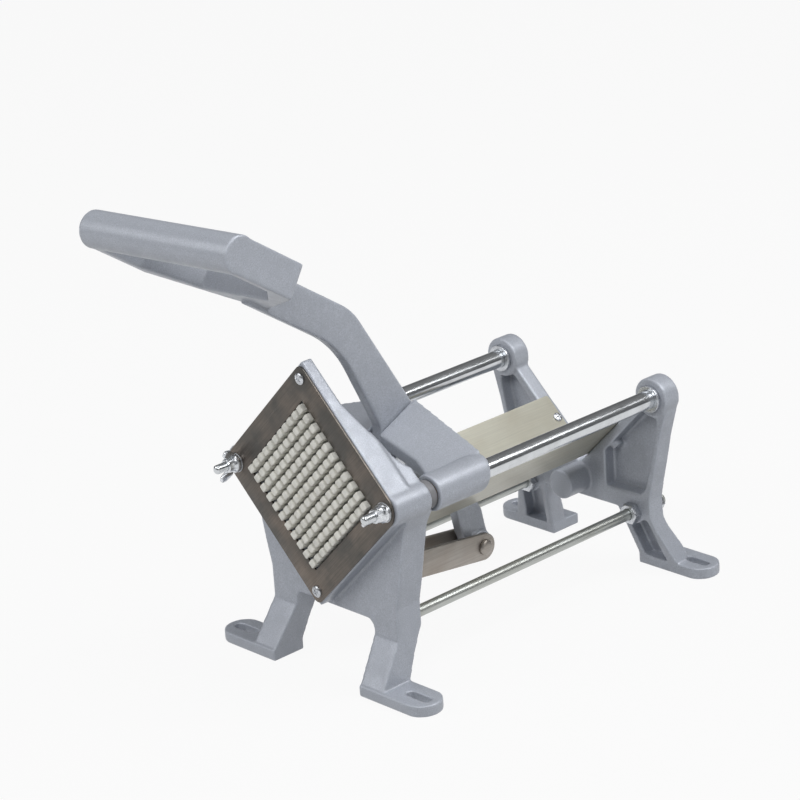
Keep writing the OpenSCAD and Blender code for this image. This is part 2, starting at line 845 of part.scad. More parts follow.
front_casting();
rear_casting();
guide_rods();
guide_rod_bolts();
rear_collars();
front_buffers();
tie_rods();
tie_rod_nuts();
trough_left();
trough_right();
trough_screws();
blade_plate();
blade_holder();
blades_rising();
blades_falling();
blade_screws();
stud_washers();
wing_nut_left();
wing_nut_right();
carriage();
sleeve_bushes();
pusher_block();
pusher_screws();
pivot_bolt();
pivot_nut();
lever();
lever_bush();
link_bars();
link_rear_pin();
link_front_pin();
pin_clips();
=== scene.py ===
"""Looks of a bench-standing french fry cutter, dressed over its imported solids.

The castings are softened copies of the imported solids. Every machined, pressed and moulded piece is
a surface worked out with numpy. Lengths are in millimetres until a Shell becomes a mesh in metres.
"""

from __future__ import annotations

import json
import logging
import math
from dataclasses import dataclass, field
from enum import Enum

import bpy
import numpy as np
from mathutils import Matrix, Vector

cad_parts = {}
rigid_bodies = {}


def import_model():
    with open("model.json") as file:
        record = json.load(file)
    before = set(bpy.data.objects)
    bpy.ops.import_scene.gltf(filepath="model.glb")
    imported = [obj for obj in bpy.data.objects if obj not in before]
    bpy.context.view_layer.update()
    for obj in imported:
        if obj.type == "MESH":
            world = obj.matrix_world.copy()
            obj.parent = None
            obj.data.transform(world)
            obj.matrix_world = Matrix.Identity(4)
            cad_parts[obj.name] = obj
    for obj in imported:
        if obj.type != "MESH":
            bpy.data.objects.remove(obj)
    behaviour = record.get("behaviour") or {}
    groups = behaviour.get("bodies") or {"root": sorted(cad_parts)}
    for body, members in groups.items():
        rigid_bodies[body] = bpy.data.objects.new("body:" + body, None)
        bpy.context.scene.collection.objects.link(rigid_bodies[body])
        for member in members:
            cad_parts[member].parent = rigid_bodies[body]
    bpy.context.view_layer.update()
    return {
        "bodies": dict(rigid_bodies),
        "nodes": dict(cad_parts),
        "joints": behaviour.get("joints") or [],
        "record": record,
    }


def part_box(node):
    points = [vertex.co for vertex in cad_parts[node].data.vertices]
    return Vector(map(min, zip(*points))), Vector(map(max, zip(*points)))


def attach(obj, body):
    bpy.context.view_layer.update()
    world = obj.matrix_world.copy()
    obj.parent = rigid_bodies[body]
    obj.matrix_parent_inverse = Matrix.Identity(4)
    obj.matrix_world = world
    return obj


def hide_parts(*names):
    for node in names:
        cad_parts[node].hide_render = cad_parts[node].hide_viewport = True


MM = 0.001
ROOT_HALF = math.sqrt(0.5)
LOG = logging.getLogger("fry_cutter")
Colour = tuple[float, float, float]


class Side(Enum):
    """Side of the machine, as the sign of X."""

    LEFT = -1
    RIGHT = 1


class Grain(Enum):
    """Direction of a drawn or brushed grain, as the stretch of its pattern along X, Y and Z."""

    ALONG_Y = (1.0, 0.02, 1.0)
    ALONG_X = (0.03, 1.0, 1.0)


# ---------------------------------------------------------------- shells


@dataclass
class Shell:
    """Closed surface: points in millimetres and the corner lists of its faces.

    Attributes:
        points: Array (n, 3).
        faces: Arrays (m, k), each holding m faces of k corners.
    """

    points: np.ndarray
    faces: list[np.ndarray]

    def volume(self) -> float:
        """Signed volume: the sum over fans of p0 . (p1 x p2) / 6, positive when faces point out."""
        total = 0.0
        for block in self.faces:
            first = self.points[block[:, 0]]
            for k in range(1, block.shape[1] - 1):
                second, third = self.points[block[:, k]], self.points[block[:, k + 1]]
                total += float(np.einsum("ij,ij->", first, np.cross(second, third))) / 6
        return total

    def outward(self) -> Shell:
        """The same surface with its faces pointing out."""
        if self.volume() >= 0:
            return self
        return Shell(self.points, [block[:, ::-1] for block in self.faces])

    def moved(self, offset: tuple[float, float, float]) -> Shell:
        """The surface shifted by offset."""
        return Shell(self.points + np.asarray(offset, float), self.faces)

    def turned(self, axis: str, degrees: float, centre: tuple[float, float, float]) -> Shell:
        """The surface turned about an axis through centre.

        Args:
            axis: "X", "Y" or "Z".
            degrees: Angle by the right-hand rule.
            centre: Point on the axis.

        Returns:
            The turned surface.
        """
        turn = np.array(Matrix.Rotation(math.radians(degrees), 3, axis))
        middle = np.asarray(centre, float)
        return Shell((self.points - middle) @ turn.T + middle, self.faces)

    def mirrored(self) -> Shell:
        """The surface's mirror image across X = 0."""
        return Shell(self.points * (-1, 1, 1), [block[:, ::-1] for block in self.faces])

    def both_sides(self) -> Shell:
        """The surface and its mirror image across X = 0."""
        return join([self, self.mirrored()])

    def repeated(self, offsets: np.ndarray) -> Shell:
        """Copies of the surface, one at each offset: p[i, j] = point[j] + offset[i].

        Args:
            offsets: Array (m, 3).

        Returns:
            All the copies as one Shell.
        """
        points = (offsets[:, None, :] + self.points[None, :, :]).reshape(-1, 3)
        steps = np.arange(len(offsets))[:, None, None] * len(self.points)
        blocks = [(steps + block[None]).reshape(-1, block.shape[1]) for block in self.faces]
        return Shell(points, blocks)

    def piece(self, name: str, crease: float = 32.0) -> bpy.types.Object:
        """Puts the surface into a mesh object at the origin, in metres.

        Args:
            name: Name of the piece.
            crease: Angle in degrees above which an edge stays sharp.

        Returns:
            The new object, linked to the scene.
        """
        mesh = bpy.data.meshes.new(name)
        corners = [corner for block in self.faces for corner in block.tolist()]
        mesh.from_pydata((self.points * MM).tolist(), [], corners)
        mesh.polygons.foreach_set("use_smooth", np.ones(len(mesh.polygons), bool))
        mesh.set_sharp_from_angle(angle=math.radians(crease))
        mesh.update()
        made = bpy.data.objects.new(name, mesh)
        bpy.context.scene.collection.objects.link(made)
        return made


def join(shells: list[Shell]) -> Shell:
    """Several surfaces as one.

    Args:
        shells: Surfaces, each with its own points.

    Returns:
        One Shell with all their points and faces.
    """
    points, faces, start = [], [], 0
    for shell in shells:
        points.append(shell.points)
        faces += [block + start for block in shell.faces]
        start += len(shell.points)
    return Shell(np.concatenate(points), faces)


def loft(rings: np.ndarray, closed: bool = False) -> Shell:
    """Skin over closed rings: quad (i, j) joins rings i and i + 1 between points j and j + 1.

    Args:
        rings: Array (k, n, 3) of k rings of n points.
        closed: Whether the last ring joins the first. Otherwise each end ring gets one flat face.

    Returns:
        A closed surface with its faces pointing out.
    """
    count, around = rings.shape[:2]
    rows = np.arange(count if closed else count - 1)[:, None]
    here = np.arange(around)[None, :]
    after, above = (here + 1) % around, (rows + 1) % count
    quads = np.stack(
        [rows * around + here, rows * around + after, above * around + after, above * around + here],
        axis=-1,
    ).reshape(-1, 4)
    faces = [quads]
    if not closed:
        first = np.arange(around)[None, ::-1]
        faces += [first, (count - 1) * around + first[:, ::-1]]
    return Shell(rings.reshape(-1, 3), faces).outward()


def revolve(
    profile: list[tuple[float, float]],
    centre: tuple[float, float, float],
    axis: str = "Y",
    steps: int = 64,
    closed: bool = False,
    across: float | None = None,
    thread: tuple[float, float, float, float] | None = None,
) -> Shell:
    """Turned surface: p(t, a) = centre + along(t) e + r(t, a) (cos a u + sin a v).

    A hexagon's radius is r(t, a) = min(radius(t), across / 2 / cos b), with b the angle from the
    middle of the nearest flat, so a cone in the profile gives its corners their curved chamfer. A
    thread lowers the radius by depth |2 frac(along / pitch - a / 2 pi) - 1|.

    Args:
        profile: (along, radius) points in order.
        centre: Point that along is counted from.
        axis: "X", "Y" or "Z", the direction e.
        steps: Number of points around.
        closed: Whether the profile is a loop, as on a ring.
        across: Distance across the flats of a hexagon.
        thread: (start, end, pitch, depth) of a thread along the axis.

    Returns:
        A closed surface.
    """
    angle = np.linspace(0, 2 * math.pi, steps, endpoint=False)[None, :]
    along, radius = (np.array(column, float)[:, None] for column in zip(*profile))
    radius = np.broadcast_to(radius, (len(radius), steps)).copy()
    if across is not None:
        sector = math.pi / 3
        off_flat = (angle + sector / 2) % sector - sector / 2
        radius = np.minimum(radius, across / 2 / np.cos(off_flat))
    if thread is not None:
        start, end, pitch, depth = thread
        wave = np.abs(2 * ((along / pitch - angle / (2 * math.pi)) % 1) - 1)
        radius -= np.where((along > start) & (along < end), depth * wave, 0)
    where = "XYZ".index(axis)
    points = np.zeros((*radius.shape, 3))
    points[..., where] = along
    points[..., (where + 1) % 3] = radius * np.cos(angle)
    points[..., (where + 2) % 3] = radius * np.sin(angle)
    return loft(points + np.asarray(centre, float), closed)


def tube(length: float, outer: float, inner: float, edge: float) -> list[tuple[float, float]]:
    """Closed profile of a ring with quarter-round edges.

    Each corner is radius edge: (along, r) = corner centre + edge (cos b, sin b) over a quarter turn.

    Args:
        length: Length along the axis, from 0.
        outer: Outer radius.
        inner: Inner radius.
        edge: Radius of the edges.

    Returns:
        (along, radius) points around the section.
    """
    corners = [(edge, outer - edge, 180), (length - edge, outer - edge, 90),
               (length - edge, inner + edge, 0), (edge, inner + edge, -90)]
    sweep = np.radians(np.linspace(0, -90, 5))
    points: list[tuple[float, float]] = []
    for along, radius, start in corners:
        turn = sweep + math.radians(start)
        points += list(zip(along + edge * np.cos(turn), radius + edge * np.sin(turn)))
    return points


def rounded(corners: list[tuple[float, float]], radii: list[float], steps: int = 6) -> np.ndarray:
    """Outline with its corners turned into arcs.

    At a corner C with unit normals m before and n after it, the arc is O + R (s m + t n) / |s m + t n|
    with O = C - R (m + n) / (1 + m . n), while t runs from 0 to 1 and s = 1 - t.

    Args:
        corners: Corner points, counter-clockwise.
        radii: Radius at each corner.
        steps: Points on each arc.

    Returns:
        Array (n, 2) of outline points.
    """
    corner = np.asarray(corners, float)
    ahead = np.roll(corner, -1, 0) - corner
    ahead /= np.linalg.norm(ahead, axis=1, keepdims=True)
    after = np.stack([ahead[:, 1], -ahead[:, 0]], 1)
    before = np.roll(after, 1, 0)
    radius = np.asarray(radii, float)[:, None]
    middle = corner - radius * (before + after) / (1 + (before * after).sum(1, keepdims=True))
    share = np.linspace(0, 1, steps)[None, :, None]
    spoke = (1 - share) * before[:, None] + share * after[:, None]
    spoke /= np.linalg.norm(spoke, axis=2, keepdims=True)
    return (middle[:, None] + radius[:, None] * spoke).reshape(-1, 2)


def inset(outline: np.ndarray, amount: float) -> np.ndarray:
    """Outline moved inwards: p - amount (m + n) / (1 + m . n), with m and n its edges' normals.

    Args:
        outline: Array (n, 2), counter-clockwise.
        amount: Distance, positive inwards.

    Returns:
        Array (n, 2).
    """
    ahead = np.roll(outline, -1, 0) - outline
    ahead /= np.linalg.norm(ahead, axis=1, keepdims=True) + 1e-9
    after = np.stack([ahead[:, 1], -ahead[:, 0]], 1)
    before = np.roll(after, 1, 0)
    return outline - amount * (before + after) / (1 + (before * after).sum(1, keepdims=True))


def slab(
    outline: np.ndarray, start: float, end: float, edge: float, hole: np.ndarray | None = None
) -> Shell:
    """Plate with quarter-round edges, drawn in (u, v) and standing along w.

    Ring b of an edge is the outline inset by edge (1 - sin b) at a depth of edge (1 - cos b), for b
    from 0 to a quarter turn. With a hole, the skin runs on round the hole's outline and closes.

    Args:
        outline: Array (n, 2), counter-clockwise.
        start: Lowest w.
        end: Highest w.
        edge: Radius of the edges.
        hole: Outline of a hole, with as many points as the outer one and in the same order.

    Returns:
        A closed surface in (u, v, w).
    """
    quarter = np.radians(np.linspace(0, 90, 4))
    rings = [(edge * (1 - math.sin(b)), start + edge * (1 - math.cos(b))) for b in quarter]
    rings += [(edge * (1 - math.sin(b)), end - edge * (1 - math.cos(b))) for b in quarter[::-1]]
    skins = [np.column_stack([inset(outline, cut), np.full(len(outline), w)]) for cut, w in rings]
    if hole is None:
        return loft(np.stack(skins))
    skins += [np.column_stack([inset(hole, -cut), np.full(len(hole), w)]) for cut, w in rings[::-1]]
    return loft(np.stack(skins), closed=True)


def upright(shell: Shell) -> Shell:
    """Turns a slab drawn in (u, v, w) to stand across the machine: x = u, z = v, y = w."""
    u, v, w = shell.points.T
    return Shell(np.column_stack([u, w, v]), shell.faces).outward()


def sideways(shell: Shell) -> Shell:
    """Turns a slab drawn in (u, v, w) to stand along the machine: y = u, z = v, x = w."""
    u, v, w = shell.points.T
    return Shell(np.column_stack([w, u, v]), shell.faces).outward()


def span(node: str) -> tuple[np.ndarray, np.ndarray]:
    """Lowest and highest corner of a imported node, in millimetres."""
    low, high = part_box(node)
    return np.array(low) / MM, np.array(high) / MM


def height_of(node: str) -> float:
    """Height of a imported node's middle, in millimetres."""
    low, high = span(node)
    return float(low[2] + high[2]) / 2


# ---------------------------------------------------------------- finishes


class Graph:
    """Short hand for building one material's nodes."""

    def __init__(self, name: str) -> None:
        """Starts a material with a Principled shader.

        Args:
            name: Name of the material.
        """
        self.material = bpy.data.materials.new(name)
        self.material.use_nodes = True
        self.tree = self.material.node_tree
        self.shader = self.tree.nodes["Principled BSDF"]
        self.place = self.tree.nodes.new("ShaderNodeTexCoord").outputs["Object"]

    def feed(self, socket: bpy.types.NodeSocket, value: object) -> None:
        """Links an output to a socket, or sets the socket's own value."""
        if isinstance(value, bpy.types.NodeSocket):
            self.tree.links.new(value, socket)
        else:
            socket.default_value = value

    def fix(self, **values: object) -> None:
        """Sets sockets of the shader; underscores stand for spaces in their names."""
        for name, value in values.items():
            self.feed(self.shader.inputs[name.replace("_", " ")], value)

    def noise(
        self, size_mm: float, detail: float = 2.0, stretch: Grain | None = None
    ) -> bpy.types.NodeSocket:
        """Noise whose spots are about size_mm across, drawn out along a grain.

        Args:
            size_mm: Size of the spots.
            detail: Number of finer octaves.
            stretch: Direction of the grain, if it has one.

        Returns:
            Value from 0 to 1.
        """
        node = self.tree.nodes.new("ShaderNodeTexNoise")
        node.inputs["Scale"].default_value = 1 / (size_mm * MM)
        node.inputs["Detail"].default_value = detail
        place = self.place
        if stretch is not None:
            mapping = self.tree.nodes.new("ShaderNodeMapping")
            mapping.inputs["Scale"].default_value = stretch.value
            self.tree.links.new(self.place, mapping.inputs["Vector"])
            place = mapping.outputs["Vector"]
        self.tree.links.new(place, node.inputs["Vector"])
        return node.outputs["Fac"]

    def remap(
        self, value: bpy.types.NodeSocket, low: float, high: float, to_low: float, to_high: float
    ) -> bpy.types.NodeSocket:
        """Carries value from low..high to to_low..to_high, held at the ends."""
        node = self.tree.nodes.new("ShaderNodeMapRange")
        ends = {"From Min": low, "From Max": high, "To Min": to_low, "To Max": to_high}
        for name, number in ends.items():
            node.inputs[name].default_value = number
        self.tree.links.new(value, node.inputs["Value"])
        return node.outputs["Result"]

    def mix(self, share: object, first: object, second: object) -> bpy.types.NodeSocket:
        """Blends two colours by share."""
        node = self.tree.nodes.new("ShaderNodeMix")
        node.data_type = "RGBA"
        self.feed(node.inputs["Factor"], share)
        self.feed(node.inputs["A"], first)
        self.feed(node.inputs["B"], second)
        return node.outputs["Result"]

    def bump(self, *layers: tuple[bpy.types.NodeSocket, float, float]) -> None:
        """Stacks bumps on the shader's normal.

        Args:
            layers: (height, strength, depth in millimetres), from the lowest up.
        """
        below = None
        for height, strength, depth in layers:
            node = self.tree.nodes.new("ShaderNodeBump")
            node.inputs["Strength"].default_value = strength
            node.inputs["Distance"].default_value = depth * MM
            self.tree.links.new(height, node.inputs["Height"])
            if below is not None:
                self.tree.links.new(below, node.inputs["Normal"])
            below = node.outputs["Normal"]
        self.tree.links.new(below, self.shader.inputs["Normal"])

    def blotches(
        self,
        pattern: bpy.types.NodeSocket,
        colour: Colour,
        light: float,
        dark: float,
        low: float = 0.35,
        high: float = 0.7,
        share: float = 1.0,
    ) -> bpy.types.NodeSocket:
        """Colour that goes from colour * light to colour * dark as the pattern rises.

        Args:
            pattern: Value from 0 to 1.
            colour: Mean colour.
            light: Factor where the pattern is under low.
            dark: Factor where it is over high.
            low: Where the change begins.
            high: Where it ends.
            share: How much of the dark colour is reached.

        Returns:
            The colour.
        """
        amount = self.remap(pattern, low, high, 0, share)
        return self.mix(amount, shade(colour, light), shade(colour, dark))

    def attribute(self, name: str) -> bpy.types.NodeSocket:
        """Value of a mesh attribute."""
        node = self.tree.nodes.new("ShaderNodeAttribute")
        node.attribute_name = name
        return node.outputs["Fac"]


def shade(colour: Colour, factor: float) -> tuple[float, float, float, float]:
    """Colour times factor, opaque and held under 1."""
    return (*(min(1.0, part * factor) for part in colour), 1.0)


@dataclass(frozen=True)
class CastFinish:
    """Sand-cast aluminium: fine speckle, soft mottling, rubbed edges and painted shade in its hollows.
    """

    colour: Colour = (0.405, 0.43, 0.482)
    metal: float = 0.22
    roughness: float = 0.4
    grain_mm: float = 0.8
    mottle_mm: float = 9.0

    def material(self) -> bpy.types.Material:
        """Builds the material; it lightens rubbed edges as wear and darkens corners as painted shade."""
        graph = Graph("cast_aluminium")
        grain = graph.noise(self.grain_mm, 3.0)
        mottle = graph.noise(self.mottle_mm, 4.0)
        tone = graph.blotches(grain, self.colour, 0.8, 1.2, low=0.3)
        tone = graph.mix(graph.remap(mottle, 0.35, 0.7, 0, 0.45), tone, shade(self.colour, 0.9))
        wear = graph.attribute("wear")
        # Rubbed edges lighter: wear.
        tone = graph.mix(graph.remap(wear, 0.12, 0.75, 0, 0.5), tone, shade(self.colour, 1.5))
        # Corners and hollows darker: painted shade where less light reaches.
        tone = graph.mix(graph.remap(wear, -0.1, -0.8, 0, 0.55), tone, shade(self.colour, 0.45))
        rough = graph.remap(mottle, 0.3, 0.7, self.roughness - 0.05, self.roughness + 0.08)
        graph.fix(Base_Color=tone, Metallic=self.metal, Roughness=rough)
        graph.bump((mottle, 0.12, 0.5), (grain, 0.3, 0.12))
        return graph.material


@dataclass(frozen=True)
class PolishedFinish:
    """Ground and polished steel bar: fine marks along its length and faint wear rings."""

    colour: Colour = (0.62, 0.64, 0.66)
    roughness: float = 0.16

    def material(self) -> bpy.types.Material:
        """Builds the material."""
        graph = Graph("polished_bar")
        marks = graph.noise(0.7, 3.0, Grain.ALONG_Y)
        cloud = graph.noise(14.0, 3.0)
        tone = graph.blotches(cloud, self.colour, 1.06, 0.84, share=0.6)
        rough = graph.remap(marks, 0.3, 0.7, self.roughness - 0.04, self.roughness + 0.12)
        graph.fix(Base_Color=tone, Metallic=1.0, Roughness=rough)
        graph.bump((marks, 0.08, 0.06))
        return graph.material


@dataclass(frozen=True)
class BrushedFinish:
    """Sheet or bar steel with a drawn grain.

    Attributes:
        name: Name of the material.
        colour: Its mean colour.
        warm: Colour of its warmer patches.
        metal: Share of metal in the shader.
        roughness: Mean roughness.
        grain: Direction of the grain.
        turn: Turn of the grain about Y, in degrees.
    """

    name: str
    colour: Colour
    warm: Colour
    metal: float = 1.0
    roughness: float = 0.36
    grain: Grain = Grain.ALONG_Y
    turn: float = 0.0

    def material(self) -> bpy.types.Material:
        """Builds the material."""
        graph = Graph(self.name)
        if self.turn:
            mapping = graph.tree.nodes.new("ShaderNodeMapping")
            mapping.inputs["Rotation"].default_value = (0, math.radians(self.turn), 0)
            graph.tree.links.new(graph.place, mapping.inputs["Vector"])
            graph.place = mapping.outputs["Vector"]
        lines = graph.noise(0.9, 4.0, self.grain)
        patch = graph.noise(34.0, 3.0)
        tone = graph.mix(graph.remap(patch, 0.38, 0.66, 0, 1), (*self.colour, 1), (*self.warm, 1))
        tone = graph.mix(graph.remap(lines, 0.3, 0.7, 0, 0.5), tone, shade(self.colour, 0.72))
        rough = graph.remap(lines, 0.3, 0.7, self.roughness - 0.07, self.roughness + 0.1)
        graph.fix(Base_Color=tone, Metallic=self.metal, Roughness=rough)
        graph.bump((lines, 0.12, 0.08))
        return graph.material


@dataclass(frozen=True)
class ZincFinish:
    """Plated fastener: bright with small cloudy spots."""

    name: str = "zinc_plate"
    colour: Colour = (0.55, 0.57, 0.6)
    roughness: float = 0.27

    def material(self) -> bpy.types.Material:
        """Builds the material."""
        graph = Graph(self.name)
        spots = graph.noise(1.8, 4.0)
        tone = graph.blotches(spots, self.colour, 1.12, 0.8)
        rough = graph.remap(spots, 0.3, 0.7, self.roughness - 0.06, self.roughness + 0.14)
        graph.fix(Base_Color=tone, Metallic=0.95, Roughness=rough)
        graph.bump((spots, 0.1, 0.08))
        return graph.material


@dataclass(frozen=True)
class MouldedFinish:
    """Moulded plastic or rubber: dull, with a faint flow mottle."""

    name: str
    colour: Colour
    roughness: float = 0.5

    def material(self) -> bpy.types.Material:
        """Builds the material."""
        graph = Graph(self.name)
        flow = graph.noise(6.0, 4.0)
        skin = graph.noise(0.5, 2.0)
        tone = graph.blotches(flow, self.colour, 1.05, 0.86, high=0.68)
        rough = graph.remap(skin, 0.3, 0.7, self.roughness - 0.06, self.roughness + 0.08)
        graph.fix(Base_Color=tone, Metallic=0.0, Roughness=rough)
        graph.bump((skin, 0.15, 0.06))
        return graph.material


@dataclass(frozen=True)
class BronzeFinish:
    """Sintered bronze: warm, with open pores."""

    colour: Colour = (0.5, 0.36, 0.17)

    def material(self) -> bpy.types.Material:
        """Builds the material."""
        graph = Graph("sintered_bronze")
        pores = graph.noise(0.45, 2.0)
        tone = graph.blotches(pores, self.colour, 1.0, 0.5, 0.55, 0.72)
        graph.fix(Base_Color=tone, Metallic=0.9, Roughness=0.42)
        graph.bump((pores, 0.25, 0.1))
        return graph.material


@dataclass
class Finishes:
    """Every finish of the machine, each made once."""

    cast: bpy.types.Material = field(default_factory=lambda: CastFinish().material())
    bar: bpy.types.Material = field(default_factory=lambda: PolishedFinish().material())
    zinc: bpy.types.Material = field(default_factory=lambda: ZincFinish().material())
    wing: bpy.types.Material = field(
        default_factory=lambda: ZincFinish("bright_zinc", (0.68, 0.7, 0.73), 0.2).material()
    )
    tie: bpy.types.Material = field(
        default_factory=lambda: BrushedFinish(
            "tie_rod_steel", (0.5, 0.52, 0.5), (0.44, 0.45, 0.42), 0.9, 0.34
        ).material()
    )
    # The cover plate's near-black colour is painted reflection of a dark room, and its lighter brown
    # patches are painted reflection of a brown floor.
    cover: bpy.types.Material = field(
        default_factory=lambda: BrushedFinish(
            "cover_plate_steel", (0.095, 0.09, 0.083), (0.2, 0.165, 0.138), 0.8, 0.34, Grain.ALONG_X, 45
        ).material()
    )
    sheet: bpy.types.Material = field(
        default_factory=lambda: BrushedFinish(
            "trough_sheet_steel", (0.56, 0.55, 0.47), (0.5, 0.48, 0.4), 0.3, 0.38
        ).material()
    )
    link: bpy.types.Material = field(
        default_factory=lambda: BrushedFinish(
            "link_steel", (0.42, 0.39, 0.36), (0.36, 0.32, 0.28), 0.8, 0.42
        ).material()
    )
    blade: bpy.types.Material = field(
        default_factory=lambda: BrushedFinish(
            "blade_steel", (0.6, 0.6, 0.58), (0.52, 0.52, 0.5), 1.0, 0.28
        ).material()
    )
    peg: bpy.types.Material = field(
        default_factory=lambda: MouldedFinish("peg_plastic", (0.82, 0.81, 0.75), 0.45).material()
    )
    rubber: bpy.types.Material = field(
        default_factory=lambda: MouldedFinish("buffer_rubber", (0.2, 0.2, 0.21), 0.55).material()
    )
    bronze: bpy.types.Material = field(default_factory=lambda: BronzeFinish().material())


def dress(
    made: bpy.types.Object, material: bpy.types.Material, body: str, slot: str, *nodes: str
) -> bpy.types.Object:
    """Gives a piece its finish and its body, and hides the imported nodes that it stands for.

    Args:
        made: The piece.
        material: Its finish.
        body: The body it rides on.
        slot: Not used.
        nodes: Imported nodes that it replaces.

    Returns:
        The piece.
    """
    made.data.materials.clear()
    made.data.materials.append(material)
    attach(made, body)
    if nodes:
        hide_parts(*nodes)
    LOG.info("%s: %d faces, on %s", made.name, len(made.data.polygons), body)
    return made


# ---------------------------------------------------------------- castings


@dataclass
class SoftCasting:
    """A casting as it comes from the sand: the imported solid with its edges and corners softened.

    Attributes:
        node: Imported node.
        body: Body it rides on.
        voxel_mm: Size of the cells that the solid is meshed with.
        passes: Smoothing passes; more make rounder edges.
        keep: Share of the faces kept afterwards.
    """

    node: str
    body: str
    voxel_mm: float = 1.0
    passes: int = 7
    keep: float = 0.6

    def meshed(self, source: bpy.types.Object) -> bpy.types.Mesh:
        """Even mesh over a merged copy of the solid.

        Args:
            source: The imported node's object.

        Returns:
            A closed mesh of small quads.
        """
        copy = source.data.copy()
        holder = bpy.data.objects.new("soft_copy", copy)
        bpy.context.scene.collection.objects.link(holder)
        weld = holder.modifiers.new("weld", "WELD")
        weld.merge_threshold = 1e-6
        cells = holder.modifiers.new("cells", "REMESH")
        cells.mode, cells.voxel_size = "VOXEL", self.voxel_mm * MM
        graph = bpy.context.evaluated_depsgraph_get()
        mesh = bpy.data.meshes.new_from_object(holder.evaluated_get(graph))
        bpy.data.objects.remove(holder)
        bpy.data.meshes.remove(copy)
        return mesh

    def soften(self, mesh: bpy.types.Mesh) -> None:
        """Rounds the mesh and notes how far each point moved.

        Each pass moves every point half way to the mean of its neighbours, p <- p + (m - p) / 2.
        A point attribute holds (start - end) . normal in millimetres: positive where an edge was
        rounded off, lightened as wear by the cast finish, and negative where a corner was filled,
        darkened there as painted shade.

        Args:
            mesh: Mesh to change.
        """
        count = len(mesh.vertices)
        points = np.empty(count * 3, np.float32)
        mesh.vertices.foreach_get("co", points)
        start = points.reshape(-1, 3).astype(float)
        ends = np.empty(len(mesh.edges) * 2, np.int32)
        mesh.edges.foreach_get("vertices", ends)
        left, right = ends.reshape(-1, 2).T
        linked = np.bincount(np.concatenate([left, right]), minlength=count)[:, None]
        here = start.copy()
        for _ in range(self.passes):
            total = np.stack(
                [
                    np.bincount(left, here[right, k], count) + np.bincount(right, here[left, k], count)
                    for k in range(3)
                ],
                axis=1,
            )
            here += 0.5 * (total / linked - here)
        mesh.vertices.foreach_set("co", here.astype(np.float32).ravel())
        mesh.update()
        normal = np.empty(count * 3, np.float32)
        mesh.vertices.foreach_get("normal", normal)
        # Positive on rounded edges (wear), negative in filled corners (painted shade).
        wear = ((start - here) * normal.reshape(-1, 3)).sum(1) / MM
        mesh.attributes.new("wear", "FLOAT", "POINT").data.foreach_set("value", wear.astype(np.float32))

    def build(self, frame: dict, finish: bpy.types.Material) -> bpy.types.Object:
        """Makes the casting and dresses it.

        Args:
            finish: Cast finish.

        Returns:
            The piece.
        """
        mesh = self.meshed(frame["nodes"][self.node])
        self.soften(mesh)
        mesh.name = f"{self.node}_soft"
        made = bpy.data.objects.new(mesh.name, mesh)
        bpy.context.scene.collection.objects.link(made)
        if self.keep < 1:
            thin = made.modifiers.new("thin", "DECIMATE")
            thin.ratio = self.keep
            graph = bpy.context.evaluated_depsgraph_get()
            made.data = bpy.data.meshes.new_from_object(made.evaluated_get(graph))
            made.modifiers.clear()
        made.data.polygons.foreach_set("use_smooth", np.ones(len(made.data.polygons), bool))
        return dress(made, finish, self.body, "casting", self.node)


# ---------------------------------------------------------------- fasteners


def domed_head(radius: float, height: float, cross: float) -> Shell:
    """Round screw head with a cross recess, its seat at y = 0 and its crown at y = -height.

    At distance r from the axis the crown is y = -height sqrt(1 - 0.8 (r / R)^2), and the recess
    lowers it by cross exp(-(n / w)^4) inside r = 0.55 R, with n the distance to the nearer arm.

    Args:
        radius: Radius R of the head.
        height: Height of the head.
        cross: Depth of the recess.

    Returns:
        A closed surface around the Y axis.
    """
    angle = np.linspace(0, 2 * math.pi, 72, endpoint=False)[None, :]
    reach = np.concatenate([np.linspace(0.02, 1, 16) * radius, [radius, radius]])[:, None]
    x, z = reach * np.cos(angle), reach * np.sin(angle)
    crown = -height * np.sqrt(1 - 0.8 * (reach / radius) ** 2)
    arm = 0.13 * radius
    nearer = np.minimum(np.abs(x), np.abs(z))
    recess = cross * np.exp(-((nearer / arm) ** 4)) / (1 + np.exp((reach - 0.55 * radius) * 12 / radius))
    y = crown + recess
    y[-2:] = np.array([[-0.25 * height], [0.0]])
    return loft(np.stack([x, y, z], -1))


def hex_head(across: float, height: float, bore: float = 0.0, axis: str = "Y") -> Shell:
    """Hexagon head or nut with chamfered corners, from 0 to height along an axis.

    Args:
        across: Distance across the flats.
        height: Height.
        bore: Radius of the hole of a nut, or 0.
        axis: "X" or "Y".

    Returns:
        A closed surface.
    """
    corner = across / 2 / math.cos(math.pi / 6) + 0.02
    cut = across * 0.065
    face = across * 0.475
    skin = [(0.0, face), (0.08, face + 0.1), (cut * 0.75, corner)]
    skin += [(height - cut * 0.75, corner), (height - 0.08, face + 0.1), (height, face)]
    if not bore:
        return revolve(skin, (0, 0, 0), axis, 96, across=across)
    skin += [(height, bore + 0.5), (height - 0.5, bore), (0.5, bore), (0.0, bore + 0.5)]
    return revolve(skin, (0, 0, 0), axis, 96, closed=True, across=across)


def studding(start: float, end: float, radius: float, pitch: float) -> list[tuple[float, float]]:
    """Profile of a threaded length, eight points to a turn."""
    count = max(2, int((end - start) / pitch * 8))
    return [(float(y), radius) for y in np.linspace(start, end, count)]


# ---------------------------------------------------------------- sub-assemblies


